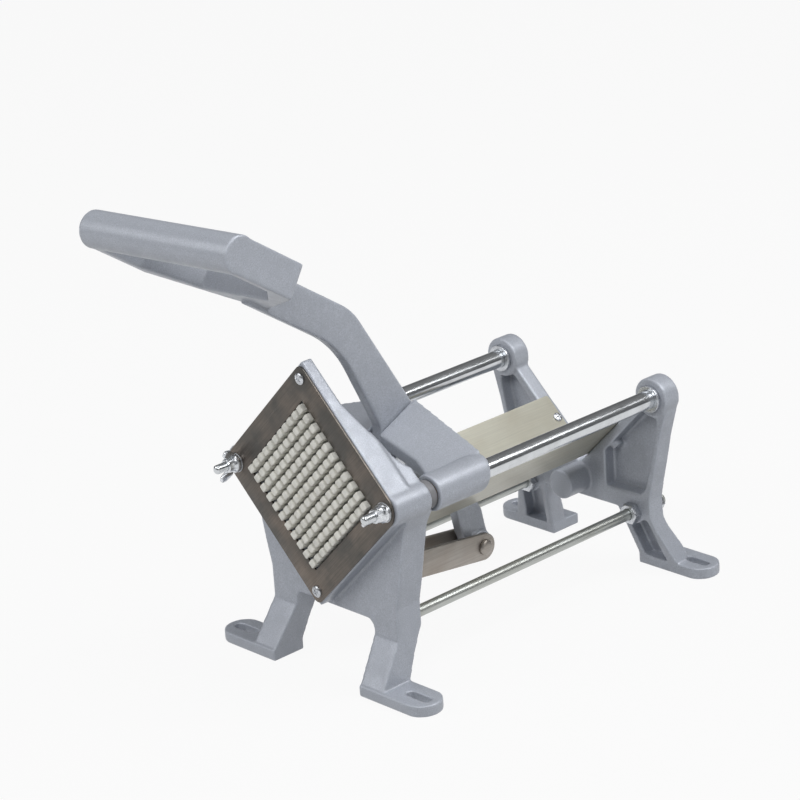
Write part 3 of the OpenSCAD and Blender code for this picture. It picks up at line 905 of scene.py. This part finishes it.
@dataclass
class Rods:
    """Guide rods, tie rods and what holds their ends.

    Attributes:
        stud_r: Radius of the threaded studs.
        stud_end: Distance over which the stud's nose is rounded.
        shoulder_gap: Distance from the cover plate's back to the rod's shoulder.
        thread_pitch: Pitch of the studs' thread.
        tie_pitch: Pitch of the tie rods' thread.
        tie_thread: Length of a tie rod's thread.
        nut_t: Thickness of a tie rod nut.
        nut_across: Distance across its flats.
        washer_r: Radius of a rear bolt's washer.
        washer_t: Thickness of that washer.
        bolt_r: Radius of a rear bolt's shank.
        bolt_head: Height of its head.
        bolt_across: Distance across the head's flats.
    """

    stud_r: float = 4.0
    stud_end: float = 2.2
    shoulder_gap: float = 21.0
    thread_pitch: float = 1.25
    tie_pitch: float = 1.5
    tie_thread: float = 34.0
    nut_t: float = 8.0
    nut_across: float = 17.0
    washer_r: float = 9.0
    washer_t: float = 1.6
    bolt_r: float = 4.0
    bolt_head: float = 5.4
    bolt_across: float = 13.0

    def guide_rod(self) -> Shell:
        """Right guide rod: a polished bar with a threaded, round-nosed stud in front."""
        low, high = span("guide_rods")
        radius = (high[2] - low[2]) / 2
        shoulder = span("blade_plate")[1][1] + self.shoulder_gap
        nose = np.radians(np.linspace(12, 90, 6))
        profile = [
            (low[1] + self.stud_end * (1 - math.cos(b)), self.stud_r * math.sin(b) * 0.97)
            for b in nose
        ]
        profile += studding(low[1] + self.stud_end + 0.2, shoulder - 1, self.stud_r, self.thread_pitch)
        profile += [(shoulder, self.stud_r), (shoulder + 0.1, radius - 1), (shoulder + 1, radius)]
        profile += [(high[1] - 1, radius), (high[1], radius - 1)]
        thread = (low[1] + self.stud_end, shoulder - 1, self.thread_pitch, 0.42)
        centre = (high[0] - radius, 0, (low[2] + high[2]) / 2)
        return revolve(profile, centre, thread=thread)

    def ring(self, node: str, bore: float, edge: float) -> Shell:
        """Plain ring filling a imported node's right half.

        Args:
            node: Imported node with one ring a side.
            bore: Radius of the bore.
            edge: Radius of the edges.

        Returns:
            The right ring.
        """
        low, high = span(node)
        outer = (high[2] - low[2]) / 2
        centre = (high[0] - outer, low[1], (low[2] + high[2]) / 2)
        return revolve(tube(high[1] - low[1], outer, bore, edge), centre, closed=True)

    def tie_rod(self) -> Shell:
        """Right tie rod, with its rear end threaded and chamfered."""
        low, high = span("tie_rods")
        radius = (high[2] - low[2]) / 2
        from_y = high[1] - self.tie_thread
        profile = [(low[1], radius - 0.8), (low[1] + 0.8, radius), (from_y, radius)]
        profile += studding(from_y + 0.3, high[1] - 1.2, radius, self.tie_pitch)
        profile += [(high[1] - 1, radius - 0.1), (high[1], radius - 1.1)]
        centre = (high[0] - radius, 0, (low[2] + high[2]) / 2)
        return revolve(profile, centre, thread=(from_y, high[1] - 1.1, self.tie_pitch, 0.5))

    def tie_nuts(self) -> Shell:
        """The right tie rod's two nuts."""
        low, high = span("tie_rod_nuts")
        bar_low, bar_high = span("tie_rods")
        radius = (bar_high[2] - bar_low[2]) / 2
        centre_x, centre_z = bar_high[0] - radius, (bar_low[2] + bar_high[2]) / 2
        nut = hex_head(self.nut_across, self.nut_t, radius)
        return join([nut.moved((centre_x, y, centre_z)) for y in (low[1], high[1] - self.nut_t)])

    def rear_bolt(self) -> Shell:
        """Right rear bolt: shank, washer and chamfered head."""
        low, high = span("guide_rod_bolts")
        centre_x, centre_z = high[0] - self.washer_r, (low[2] + high[2]) / 2
        top = high[1] - self.bolt_head
        seat = top - self.washer_t
        profile = [(low[1], self.bolt_r - 0.6), (low[1] + 0.6, self.bolt_r), (seat + 0.2, self.bolt_r)]
        shank = revolve(profile, (centre_x, 0, centre_z))
        ring = tube(self.washer_t, self.washer_r, self.bolt_r - 0.1, 0.3)
        washer = revolve(ring, (centre_x, seat, centre_z), closed=True)
        head = hex_head(self.bolt_across, self.bolt_head).moved((centre_x, top, centre_z))
        return join([shank, washer, head])

    def build(self, finish: Finishes) -> None:
        """Makes the rods and their fasteners.

        Args:
            finish: Every finish.
        """
        low, high = span("guide_rods")
        bore = (high[2] - low[2]) / 2
        rods = self.guide_rod().both_sides().piece("guide_rod_pair")
        dress(rods, finish.bar, "frame", "guide_rod", "guide_rods")
        collar = self.ring("rear_collars", bore, 0.5).both_sides().piece("rear_collar_pair")
        dress(collar, finish.zinc, "frame", "zinc_steel", "rear_collars")
        buffer = self.ring("front_buffers", bore, 1.6).both_sides().piece("front_buffer_pair")
        dress(buffer, finish.rubber, "frame", "buffer", "front_buffers")
        ties = self.tie_rod().both_sides().piece("tie_rod_pair")
        dress(ties, finish.tie, "frame", "tie_rod", "tie_rods")
        nuts = self.tie_nuts().both_sides().piece("tie_rod_nut_set")
        dress(nuts, finish.zinc, "frame", "zinc_steel", "tie_rod_nuts")
        bolts = self.rear_bolt().both_sides().piece("rear_bolt_pair")
        dress(bolts, finish.zinc, "frame", "zinc_steel", "guide_rod_bolts")


@dataclass
class BladeSet:
    """Cover plate, blades, screws, washers and wing nuts at the front.

    Attributes:
        cells: Cells along a side of the grid.
        pitch: Distance from one blade to the next.
        blade_t: Thickness of a blade.
        bevel: Depth of a blade's ground edge.
        overlap: Length of a blade past the window at each end.
        plate_side: Side of the square cover plate.
        side_r: Radius of the plate's left and right corners.
        tip_r: Radius of its upper and lower corners.
        left_turn: Turn of the left wing nut about its stud, in degrees.
        right_turn: Turn of the right one.
    """

    cells: int = 11
    pitch: float = 9.525
    blade_t: float = 0.8
    bevel: float = 1.5
    overlap: float = 3.5
    plate_side: float = 149.0
    side_r: float = 15.4
    tip_r: float = 5.8
    left_turn: float = 12.0
    right_turn: float = 44.0

    def diamond(self, side: float, side_r: float, tip_r: float, steps: int) -> np.ndarray:
        """Outline of a square standing on its corner, around the rods' height.

        Args:
            side: Side of the square.
            side_r: Radius of its left and right corners.
            tip_r: Radius of its upper and lower corners.
            steps: Points on each corner's arc.

        Returns:
            Array (n, 2) of (x, z), counter-clockwise from the right corner.
        """
        reach = side * ROOT_HALF
        z = self.axis_z()
        corners = [(reach, z), (0, z + reach), (-reach, z), (0, z - reach)]
        return rounded(corners, [side_r, tip_r, side_r, tip_r], steps)

    def axis_z(self) -> float:
        """Height of the guide rods' axes."""
        return height_of("guide_rods")

    def plate(self) -> Shell:
        """Cover plate: a square ring around the window."""
        low, high = span("blade_plate")
        outer = self.diamond(self.plate_side, self.side_r, self.tip_r, 8)
        inner = self.diamond(self.cells * self.pitch, 0.8, 0.8, 8)
        return upright(slab(outer, low[1], high[1], 0.45, inner))

    def blades(self, node: str, turn: float) -> Shell:
        """One set of blades, each a strip ground to an edge in front.

        The section across a blade is (0, 0), (t/2, bevel), (t/2, depth), (-t/2, depth),
        (-t/2, bevel), carried straight along the blade and repeated every pitch.

        Args:
            node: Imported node, for its place along Y.
            turn: Turn about Y, in degrees.

        Returns:
            All the blades of the set.
        """
        low, high = span(node)
        half_t, reach = self.blade_t / 2, self.cells * self.pitch / 2 + self.overlap
        section = np.array([
            (0, low[1] + 0.1), (half_t, low[1] + self.bevel), (half_t, high[1]),
            (-half_t, high[1]), (-half_t, low[1] + self.bevel),
        ])
        lengths = np.linspace(-reach, reach, 2)
        rings = np.stack([np.column_stack([section, np.full(5, v)]) for v in lengths])
        index = np.arange(1, self.cells) - self.cells / 2
        offsets = np.column_stack([index * self.pitch, np.zeros((self.cells - 1, 2))])
        strip = loft(rings).repeated(offsets)
        return strip.turned("Y", turn, (0, 0, 0)).moved((0, 0, self.axis_z()))

    def cover_screws(self) -> Shell:
        """The two domed screws at the plate's upper and lower corners."""
        low, high = span("blade_screws")
        radius = (high[0] - low[0]) / 2
        seat = span("blade_plate")[0][1]
        heads = [
            domed_head(radius, 2.6, 1.1).turned("Y", turn, (0, 0, 0)).moved((0, seat, z))
            for z, turn in ((high[2] - radius, 25), (low[2] + radius, 70))
        ]
        return join(heads)

    def washers(self) -> Shell:
        """The right stud's washer."""
        return Rods().ring("stud_washers", 4.05, 0.3)

    def wing_nut(self, side: Side, turn: float) -> Shell:
        """Wing nut: a turned hub with two cupped wings.

        A wing is a slab over its side view; its thickness axis bends by bow (s / length)^2, so the
        wings sweep opposite ways as on a pressed nut.

        Args:
            side: Which stud it is on.
            turn: Turn about the stud, in degrees.

        Returns:
            The nut in place.
        """
        back = span(f"wing_nut_{side.name.lower()}")[1][1]
        hub = [
            (0.0, 4.1), (-0.4, 8.0), (-3.0, 8.0), (-4.0, 7.4), (-5.0, 6.6), (-10.2, 5.9),
            (-11.0, 5.2), (-11.0, 4.1),
        ]
        shells = [revolve(hub, (0, back, 0), closed=True)]
        outline = [(-1.2, 5.0), (-9.0, 4.6), (-14.8, 10.2), (-13.8, 15.8), (-8.2, 14.8), (-3.2, 10.8)]
        wing = slab(rounded(outline[::-1], [0.6, 2.6, 2.2, 2.4, 1.2, 0.6][::-1], 7), -1.6, 1.6, 0.8)
        u, v, w = wing.points.T
        bow = 1.4 * ((v - 4.5) / 11) ** 2
        for flip in (1, -1):
            points = np.column_stack([flip * (w + bow), u + back, flip * v])
            shells.append(Shell(points, wing.faces).outward())
        low, high = span("guide_rods")
        rod_x = high[0] - (high[2] - low[2]) / 2
        return join(shells).turned("Y", turn, (0, 0, 0)).moved((side.value * rod_x, 0, self.axis_z()))

    def build(self, finish: Finishes) -> None:
        """Makes the blade set.

        Args:
            finish: Every finish.
        """
        dress(self.plate().piece("cover_plate"), finish.cover, "frame", "cover_plate", "blade_plate")
        for node, turn in (("blades_rising", 45.0), ("blades_falling", -45.0)):
            strips = self.blades(node, turn).piece(f"{node}_ground", 20)
            dress(strips, finish.blade, "frame", "blade", node)
        screws = self.cover_screws().piece("cover_screw_pair")
        dress(screws, finish.zinc, "frame", "zinc_steel", "blade_screws")
        washers = self.washers().both_sides().piece("stud_washer_pair")
        dress(washers, finish.zinc, "frame", "zinc_steel", "stud_washers")
        for side, turn in ((Side.LEFT, self.left_turn), (Side.RIGHT, self.right_turn)):
            node = f"wing_nut_{side.name.lower()}"
            nut = self.wing_nut(side, turn).piece(f"{node}_pressed")
            dress(nut, finish.wing, node, "wing_nut", node)


@dataclass
class Pusher:
    """Peg block, its screws and the carriage's bushes.

    Attributes:
        cells: Pegs along a side.
        pitch: Distance from one peg to the next.
        peg: Side of a peg.
        corner: Radius of a peg's long edges.
        crown: Height of a peg's rounded front.
        backing_t: Thickness of the plate behind the pegs.
        cap_r: Radius of a cap screw's head.
        cap_h: Height of that head.
        bush_len: Length of a bush.
    """

    cells: int = 11
    pitch: float = 9.525
    peg: float = 6.5
    corner: float = 1.1
    crown: float = 0.9
    backing_t: float = 10.0
    cap_r: float = 4.5
    cap_h: float = 3.0
    bush_len: float = 24.0

    def peg_shell(self, front: float, back: float) -> Shell:
        """One peg: a rounded square whose front edge rolls over.

        Ring b is the square inset by crown (1 - sin b) and moved back by crown (1 - cos b).

        Args:
            front: Y of the peg's front.
            back: Y of its root.

        Returns:
            A closed surface around the Y axis.
        """
        half = self.peg / 2
        corners = [(half, -half), (half, half), (-half, half), (-half, -half)]
        square = rounded(corners, [self.corner] * 4, 4)
        crown = self.crown
        quarter = np.radians(np.linspace(5, 90, 4))
        rings = [(crown * (1 - math.sin(b)), front + crown * (1 - math.cos(b))) for b in quarter]
        rings += [(0.0, back)]
        skins = [(inset(square, cut), y) for cut, y in rings]
        points = [np.column_stack([skin[:, 0], np.full(len(skin), y), skin[:, 1]]) for skin, y in skins]
        return loft(np.stack(points))

    def block(self, blades: BladeSet) -> Shell:
        """Backing plate and pegs.

        Args:
            blades: Blade set, for the grid's place.

        Returns:
            The block as one surface.
        """
        low, high = span("pusher_block")
        root = high[1] - self.backing_t
        side = self.cells * self.pitch - 1.3
        back = upright(slab(blades.diamond(side, 2.5, 2.5, 6), root, high[1], 1.0))
        index = (np.arange(self.cells) - (self.cells - 1) / 2) * self.pitch
        u, v = (part.ravel() for part in np.meshgrid(index, index))
        offsets = np.column_stack([u, np.zeros(len(u)), v])
        pegs = self.peg_shell(low[1], root + 0.5).repeated(offsets)
        pegs = pegs.turned("Y", 45, (0, 0, 0)).moved((0, 0, blades.axis_z()))
        return join([back, pegs])

    def cap_screws(self) -> Shell:
        """Four cap screws with round sockets, behind the carriage's mount."""
        low, high = span("pusher_screws")
        seat = high[1] - self.cap_h
        shank = revolve([(low[1], 2.2), (low[1] + 0.4, 2.5), (seat, 2.5)], (0, 0, 0), steps=32)
        skin = tube(self.cap_h, self.cap_r, 1.9, 0.4)
        head = revolve(skin, (0, seat, 0), steps=48, closed=True)
        floor = revolve([(0, 2.2), (0.9, 2.2)], (0, seat, 0), steps=24)
        z = (low[2] + high[2]) / 2
        reach = high[0] - self.cap_r
        offsets = np.array([(sx * reach, 0, z + sz * reach) for sx in (-1, 1) for sz in (-1, 1)])
        return join([shank, head, floor]).repeated(offsets)

    def bushes(self) -> Shell:
        """The right sleeve's two bushes."""
        low, high = span("sleeve_bushes")
        outer = (high[2] - low[2]) / 2
        rod_low, rod_high = span("guide_rods")
        bore = (rod_high[2] - rod_low[2]) / 2 + 0.05
        centre_x, centre_z = high[0] - outer, (low[2] + high[2]) / 2
        ring = tube(self.bush_len, outer, bore, 0.6)
        starts = (low[1], high[1] - self.bush_len)
        return join([revolve(ring, (centre_x, y, centre_z), closed=True) for y in starts])

    def build(self, blades: BladeSet, finish: Finishes) -> None:
        """Makes the peg block, its screws and the bushes.

        Args:
            blades: Blade set, for the grid's place.
            finish: Every finish.
        """
        block = self.block(blades).piece("peg_block")
        dress(block, finish.peg, "carriage", "peg_plastic", "pusher_block")
        screws = self.cap_screws().piece("pusher_cap_screws")
        dress(screws, finish.zinc, "carriage", "zinc_steel", "pusher_screws")
        bushes = self.bushes().both_sides().piece("sleeve_bush_set")
        dress(bushes, finish.bronze, "carriage", "bush", "sleeve_bushes")


@dataclass
class Linkage:
    """Pivot bolt, lever bush, link bars and pins.

    Attributes:
        bar_t: Thickness of a link bar.
        bar_r: Half of its width.
        bar_edge: Radius of its edges.
        pin_r: Radius of a link pin.
        pin_head: Height of its head.
        clip_t: Thickness of a clip.
        bolt_r: Radius of the pivot bolt.
        bolt_head: Height of its head.
        bolt_across: Distance across the flats of its head and nut.
    """

    bar_t: float = 4.0
    bar_r: float = 12.0
    bar_edge: float = 0.6
    pin_r: float = 5.0
    pin_head: float = 4.0
    clip_t: float = 1.5
    bolt_r: float = 4.0
    bolt_head: float = 5.3
    bolt_across: float = 13.0

    def pin_places(self) -> list[tuple[float, float]]:
        """(y, z) of the front and rear pins' axes."""
        places = []
        for node in ("link_front_pin", "link_rear_pin"):
            low, high = span(node)
            places.append((float(low[1] + high[1]) / 2, float(low[2] + high[2]) / 2))
        return places

    def bar(self) -> Shell:
        """Right link bar: a strip with round ends around both pins.

        The outline is two half circles of radius bar_r about the pins, joined by straight sides.
        """
        right = span("link_bars")[1][0]
        (front_y, front_z), (rear_y, rear_z) = self.pin_places()
        tilt = math.atan2(rear_z - front_z, rear_y - front_y)
        rear = np.radians(np.linspace(-90, 90, 25)) + tilt
        front = np.radians(np.linspace(90, 270, 25)) + tilt
        outline = np.concatenate([
            np.column_stack([y + self.bar_r * np.cos(turn), z + self.bar_r * np.sin(turn)])
            for y, z, turn in ((rear_y, rear_z, rear), (front_y, front_z, front))
        ])
        return sideways(slab(outline, right - self.bar_t, right, self.bar_edge))

    def pin(self, node: str) -> Shell:
        """Headed pin across the link, its head on the right.

        Args:
            node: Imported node.

        Returns:
            The pin with a domed head and a chamfered, grooved tail.
        """
        low, high = span(node)
        head_r = (high[2] - low[2]) / 2
        seat = high[0] - self.pin_head
        tail, full, groove = low[0], self.pin_r, self.pin_r - 0.7
        profile = [
            (tail, full - 1), (tail + 0.8, full), (tail + 1.9, full), (tail + 2.0, groove),
            (tail + 3.5, groove), (tail + 3.6, full), (seat, full), (seat + 0.05, head_r - 0.3),
            (seat + 0.4, head_r),
        ]
        rim = 1.2
        profile += [
            (seat + rim + (self.pin_head - rim) * math.sin(b), head_r * (0.35 + 0.65 * math.cos(b)))
            for b in np.radians(np.linspace(0, 84, 7))
        ]
        centre = (0, (low[1] + high[1]) / 2, (low[2] + high[2]) / 2)
        return revolve(profile, centre, "X")

    def clips(self) -> Shell:
        """Ring clips in the pins' grooves, on the left."""
        left = span("pin_clips")[0][0]
        ring = tube(self.clip_t, self.pin_r + 3, self.pin_r - 0.6, 0.35)
        return join([revolve(ring, (left, y, z), "X", 48, closed=True) for y, z in self.pin_places()])

    def pivot(self) -> tuple[Shell, Shell]:
        """Pivot bolt and its nut.

        Returns:
            The bolt with its hexagon head on the right, and the nut on the left.
        """
        low, high = span("pivot_bolt")
        nut_low, nut_high = span("pivot_nut")
        radius, across = self.bolt_r, self.bolt_across
        y, z = (low[1] + high[1]) / 2, (low[2] + high[2]) / 2
        seat = high[0] - self.bolt_head
        profile = [(low[0], radius - 1), (low[0] + 1, radius), (seat + 0.3, radius)]
        shank = revolve(profile, (0, y, z), "X")
        head = hex_head(across, self.bolt_head, axis="X").moved((seat, y, z))
        dimple = revolve([(0, 3.5), (0.35, 3.9), (0.5, 4.5)], (high[0] - 0.3, y, z), "X", 48)
        nut = hex_head(across, nut_high[0] - nut_low[0], radius, axis="X").moved((nut_low[0], y, z))
        return join([shank, head, dimple]), nut

    def lever_bush(self) -> Shell:
        """Bush in the lever's hub."""
        low, high = span("lever_bush")
        outer = (high[2] - low[2]) / 2
        centre = (low[0], (low[1] + high[1]) / 2, (low[2] + high[2]) / 2)
        return revolve(tube(high[0] - low[0], outer, self.bolt_r + 0.05, 0.3), centre, "X", closed=True)

    def build(self, finish: Finishes) -> None:
        """Makes the pivot and the link.

        Args:
            finish: Every finish.
        """
        bolt, nut = self.pivot()
        dress(bolt.piece("pivot_bolt_hex"), finish.zinc, "carriage", "zinc_steel", "pivot_bolt")
        dress(nut.piece("pivot_nut_hex"), finish.zinc, "carriage", "zinc_steel", "pivot_nut")
        dress(self.lever_bush().piece("lever_hub_bush"), finish.bronze, "lever", "bush", "lever_bush")
        bars = self.bar().both_sides().piece("link_bar_pair")
        dress(bars, finish.link, "link", "link_steel", "link_bars")
        for node in ("link_rear_pin", "link_front_pin"):
            dress(self.pin(node).piece(f"{node}_headed"), finish.link, "link", "link_steel", node)
        dress(self.clips().piece("pin_clip_pair"), finish.zinc, "link", "link_steel", "pin_clips")


@dataclass
class Trough:
    """The two plates of the V and their screws.

    Attributes:
        sheet_t: Thickness of the sheet.
        corner: Radius of a plate's corners.
        edge: Radius of its edges.
        head_r: Radius of a screw's head.
        head_h: Height of that head.
        shank_r: Radius of a screw's shank.
        screw_len: Length of the shank below the sheet.
        screw_x: Distance of a screw from the middle plane.
    """

    sheet_t: float = 1.5
    corner: float = 2.5
    edge: float = 0.35
    head_r: float = 4.25
    head_h: float = 1.8
    shank_r: float = 2.0
    screw_len: float = 13.0
    screw_x: float = 32.0

    def floor_z(self) -> float:
        """Height at which the plates' outer faces would meet in the middle."""
        high = span("trough_right")[1]
        return float(high[2] - high[0]) - self.sheet_t * ROOT_HALF

    def sloped(self, shell: Shell) -> Shell:
        """Lays a slab on the right slope: (x, z) = (s - n, s + n) / root 2, with y kept.

        Args:
            shell: Surface in (s, y, n), n square to the sheet and positive inside the trough.

        Returns:
            The surface in place.
        """
        s, y, n = shell.points.T
        x, z = (s - n) * ROOT_HALF, (s + n) * ROOT_HALF + self.floor_z()
        return Shell(np.column_stack([x, y, z]), shell.faces).outward()

    def plate(self) -> Shell:
        """Right plate."""
        low, high = span("trough_right")
        half_skew = self.sheet_t * ROOT_HALF
        near, far = (low[0] + half_skew) / ROOT_HALF, high[0] / ROOT_HALF
        corners = [(near, low[1]), (far, low[1]), (far, high[1]), (near, high[1])]
        outline = rounded(corners, [0.5, 0.5, self.corner, 0.5], 6)
        return self.sloped(slab(outline, 0, self.sheet_t, self.edge))

    def screws(self) -> Shell:
        """Right plate's two screws: a domed head inside and a plain tip below."""
        low, high = span("trough_screws")
        place = self.screw_x / ROOT_HALF
        chamfer = 0.5
        profile = [
            (-self.screw_len, self.shank_r - chamfer), (chamfer - self.screw_len, self.shank_r),
            (self.sheet_t, self.shank_r),
        ]
        head = domed_head(self.head_r, self.head_h, 0.8)
        x, depth, z = head.points.T
        shells = []
        for y in (low[1] + self.head_r, high[1] - self.head_r):
            crown = Shell(np.column_stack([x + place, z + y, self.sheet_t - depth]), head.faces)
            shells += [self.sloped(crown), self.sloped(revolve(profile, (place, y, 0), "Z", 32))]
        return join(shells)

    def build(self, finish: Finishes) -> None:
        """Makes both plates and all four screws.

        Args:
            finish: Every finish.
        """
        plate = self.plate()
        for side, shell in (("right", plate), ("left", plate.mirrored())):
            made = shell.piece(f"trough_plate_{side}")
            dress(made, finish.sheet, "frame", "trough_sheet", f"trough_{side}")
        screws = self.screws().both_sides().piece("trough_screw_set")
        dress(screws, finish.zinc, "frame", "zinc_steel", "trough_screws")


# ---------------------------------------------------------------- studio


@dataclass(frozen=True)
class Lamp:
    """Square soft lamp aimed at the machine's middle.

    Attributes:
        name: Name of the lamp.
        place: Where it stands, in metres.
        size: Length of its side, in metres.
        power: Power in watts.
    """

    name: str
    place: tuple[float, float, float]
    size: float
    power: float

    def build(self) -> None:
        """Puts the lamp into the scene."""
        data = bpy.data.lights.new(self.name, "AREA")
        data.shape, data.size, data.energy = "SQUARE", self.size, self.power
        holder = bpy.data.objects.new(self.name, data)
        aim = Vector((0, 0, 0.17)) - Vector(self.place)
        turn = aim.to_track_quat("-Z", "Y").to_matrix().to_4x4()
        holder.matrix_world = Matrix.Translation(Vector(self.place)) @ turn
        bpy.context.scene.collection.objects.link(holder)


@dataclass
class Studio:
    """Floor, lights, world and camera.

    Attributes:
        eye: Camera's place, in millimetres.
        azimuth: Turn of its view from +Y towards -X, in degrees.
        elevation: Height of the eye's line above level, in degrees.
        roll: Turn of the picture, in degrees.
        lens: Focal length on a 36 mm sensor.
        floor_r: Radius of the floor, in metres.
        floor_tone: Grey of the floor, as it lights the machine.
        floor_lift: Share of plain white in the floor as it is seen.
        sky: Strength of the world.
        lamps: The lamps.
    """

    eye: tuple[float, float, float] = (1667.1, -1602.7, 1046.2)
    azimuth: float = 47.45
    elevation: float = 20.25
    roll: float = 3.98
    lens: float = 131.2
    floor_r: float = 12.0
    floor_tone: float = 0.42
    floor_lift: float = 0.93
    sky: float = 0.22
    lamps: tuple[Lamp, ...] = (
        Lamp("key", (1.2, 0.9, 1.9), 1.1, 27),
        Lamp("front", (0.9, -1.6, 1.9), 0.9, 20),
        Lamp("left", (-1.2, -1.9, 1.4), 1.2, 16),
        Lamp("top", (0.2, 0.2, 2.4), 1.2, 10),
        Lamp("side", (2.3, 0.2, 0.8), 1.3, 5),
    )

    def camera(self) -> None:
        """Camera at the eye; its axes are right, up and back, turned by roll about back."""
        az, el = math.radians(self.azimuth), math.radians(self.elevation)
        back = Vector((math.sin(az) * math.cos(el), -math.cos(az) * math.cos(el), math.sin(el)))
        right = Vector((math.cos(az), math.sin(az), 0))
        up = back.cross(right)
        turn = math.radians(self.roll)
        cos, sin = math.cos(turn), math.sin(turn)
        right, up = right * cos - up * sin, up * cos + right * sin
        data = bpy.data.cameras.new("main_camera")
        data.lens, data.sensor_width = self.lens, 36.0
        data.clip_start, data.clip_end = 0.05, 60.0
        holder = bpy.data.objects.new("main_camera", data)
        turned = Matrix((right, up, back)).transposed().to_4x4()
        holder.matrix_world = Matrix.Translation(Vector(self.eye) * MM) @ turned
        bpy.context.scene.collection.objects.link(holder)
        bpy.context.scene.camera = holder

    def floor(self) -> None:
        """Round floor that lights the machine as grey and is seen as nearly white, with its shadow.

        Camera, mirror and glass rays see floor_lift of plain white and the rest of the lit floor.
        """
        angle = np.linspace(0, 2 * math.pi, 96, endpoint=False)
        rim = np.column_stack([self.floor_r * np.cos(angle), self.floor_r * np.sin(angle), 0 * angle])
        mesh = bpy.data.meshes.new("floor")
        mesh.from_pydata(rim.tolist(), [], [list(range(len(rim)))])
        floor = bpy.data.objects.new("floor", mesh)
        bpy.context.scene.collection.objects.link(floor)
        graph = Graph("floor_white")
        tone = (self.floor_tone, self.floor_tone, self.floor_tone, 1)
        graph.fix(Base_Color=tone, Roughness=0.9, Specular_IOR_Level=0.1)
        nodes, links = graph.tree.nodes, graph.tree.links
        glow = nodes.new("ShaderNodeEmission")
        glow.inputs["Strength"].default_value = 1.0
        path = nodes.new("ShaderNodeLightPath")
        seen = path.outputs["Is Camera Ray"]
        for kind in ("Is Glossy Ray", "Is Transmission Ray"):
            total = nodes.new("ShaderNodeMath")
            total.operation = "ADD"
            links.new(seen, total.inputs[0])
            links.new(path.outputs[kind], total.inputs[1])
            seen = total.outputs[0]
        share = graph.remap(seen, 0, 1, 0, self.floor_lift)
        mix = nodes.new("ShaderNodeMixShader")
        links.new(share, mix.inputs["Fac"])
        links.new(graph.shader.outputs[0], mix.inputs[1])
        links.new(glow.outputs[0], mix.inputs[2])
        links.new(mix.outputs[0], nodes["Material Output"].inputs["Surface"])
        mesh.materials.append(graph.material)

    def world(self) -> None:
        """Even world whose brightness rises from the horizon to straight up."""
        world = bpy.data.worlds.new("studio_world")
        world.use_nodes = True
        bpy.context.scene.world = world
        tree = world.node_tree
        background = tree.nodes["Background"]
        place = tree.nodes.new("ShaderNodeTexCoord")
        split = tree.nodes.new("ShaderNodeSeparateXYZ")
        ramp = tree.nodes.new("ShaderNodeValToRGB")
        ramp.color_ramp.elements[0].position = 0.0
        ramp.color_ramp.elements[0].color = (0.42, 0.43, 0.45, 1)
        ramp.color_ramp.elements[1].position = 0.75
        ramp.color_ramp.elements[1].color = (1, 1, 1, 1)
        tree.links.new(place.outputs["Generated"], split.inputs[0])
        tree.links.new(split.outputs["Z"], ramp.inputs["Fac"])
        tree.links.new(ramp.outputs["Color"], background.inputs["Color"])
        background.inputs["Strength"].default_value = self.sky

    def build(self) -> None:
        """Sets up the whole studio."""
        self.camera()
        self.floor()
        self.world()
        for lamp in self.lamps:
            lamp.build()
        bpy.context.scene.view_settings.view_transform = "Standard"


def castings() -> list[SoftCasting]:
    """The castings and how finely each is meshed."""
    return [
        SoftCasting("front_casting", "frame", voxel_mm=0.9, passes=8, keep=0.5),
        SoftCasting("rear_casting", "frame", voxel_mm=0.9),
        SoftCasting("carriage", "carriage", voxel_mm=0.75, passes=16),
        SoftCasting("lever", "lever", voxel_mm=0.9, passes=10),
    ]


def main() -> None:
    """Builds every sub-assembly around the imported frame, in order, and the studio."""
    logging.basicConfig(level=logging.INFO, format="%(name)s: %(message)s")
    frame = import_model()
    finish = Finishes()
    for casting in castings():
        casting.build(frame, finish.cast)
    holder = frame["nodes"]["blade_holder"]
    holder.data.materials.clear()
    holder.data.materials.append(finish.cast)
    Rods().build(finish)
    blades = BladeSet()
    blades.build(finish)
    Pusher().build(blades, finish)
    Linkage().build(finish)
    Trough().build(finish)
    Studio().build()


if __name__ == "__main__":
    main()
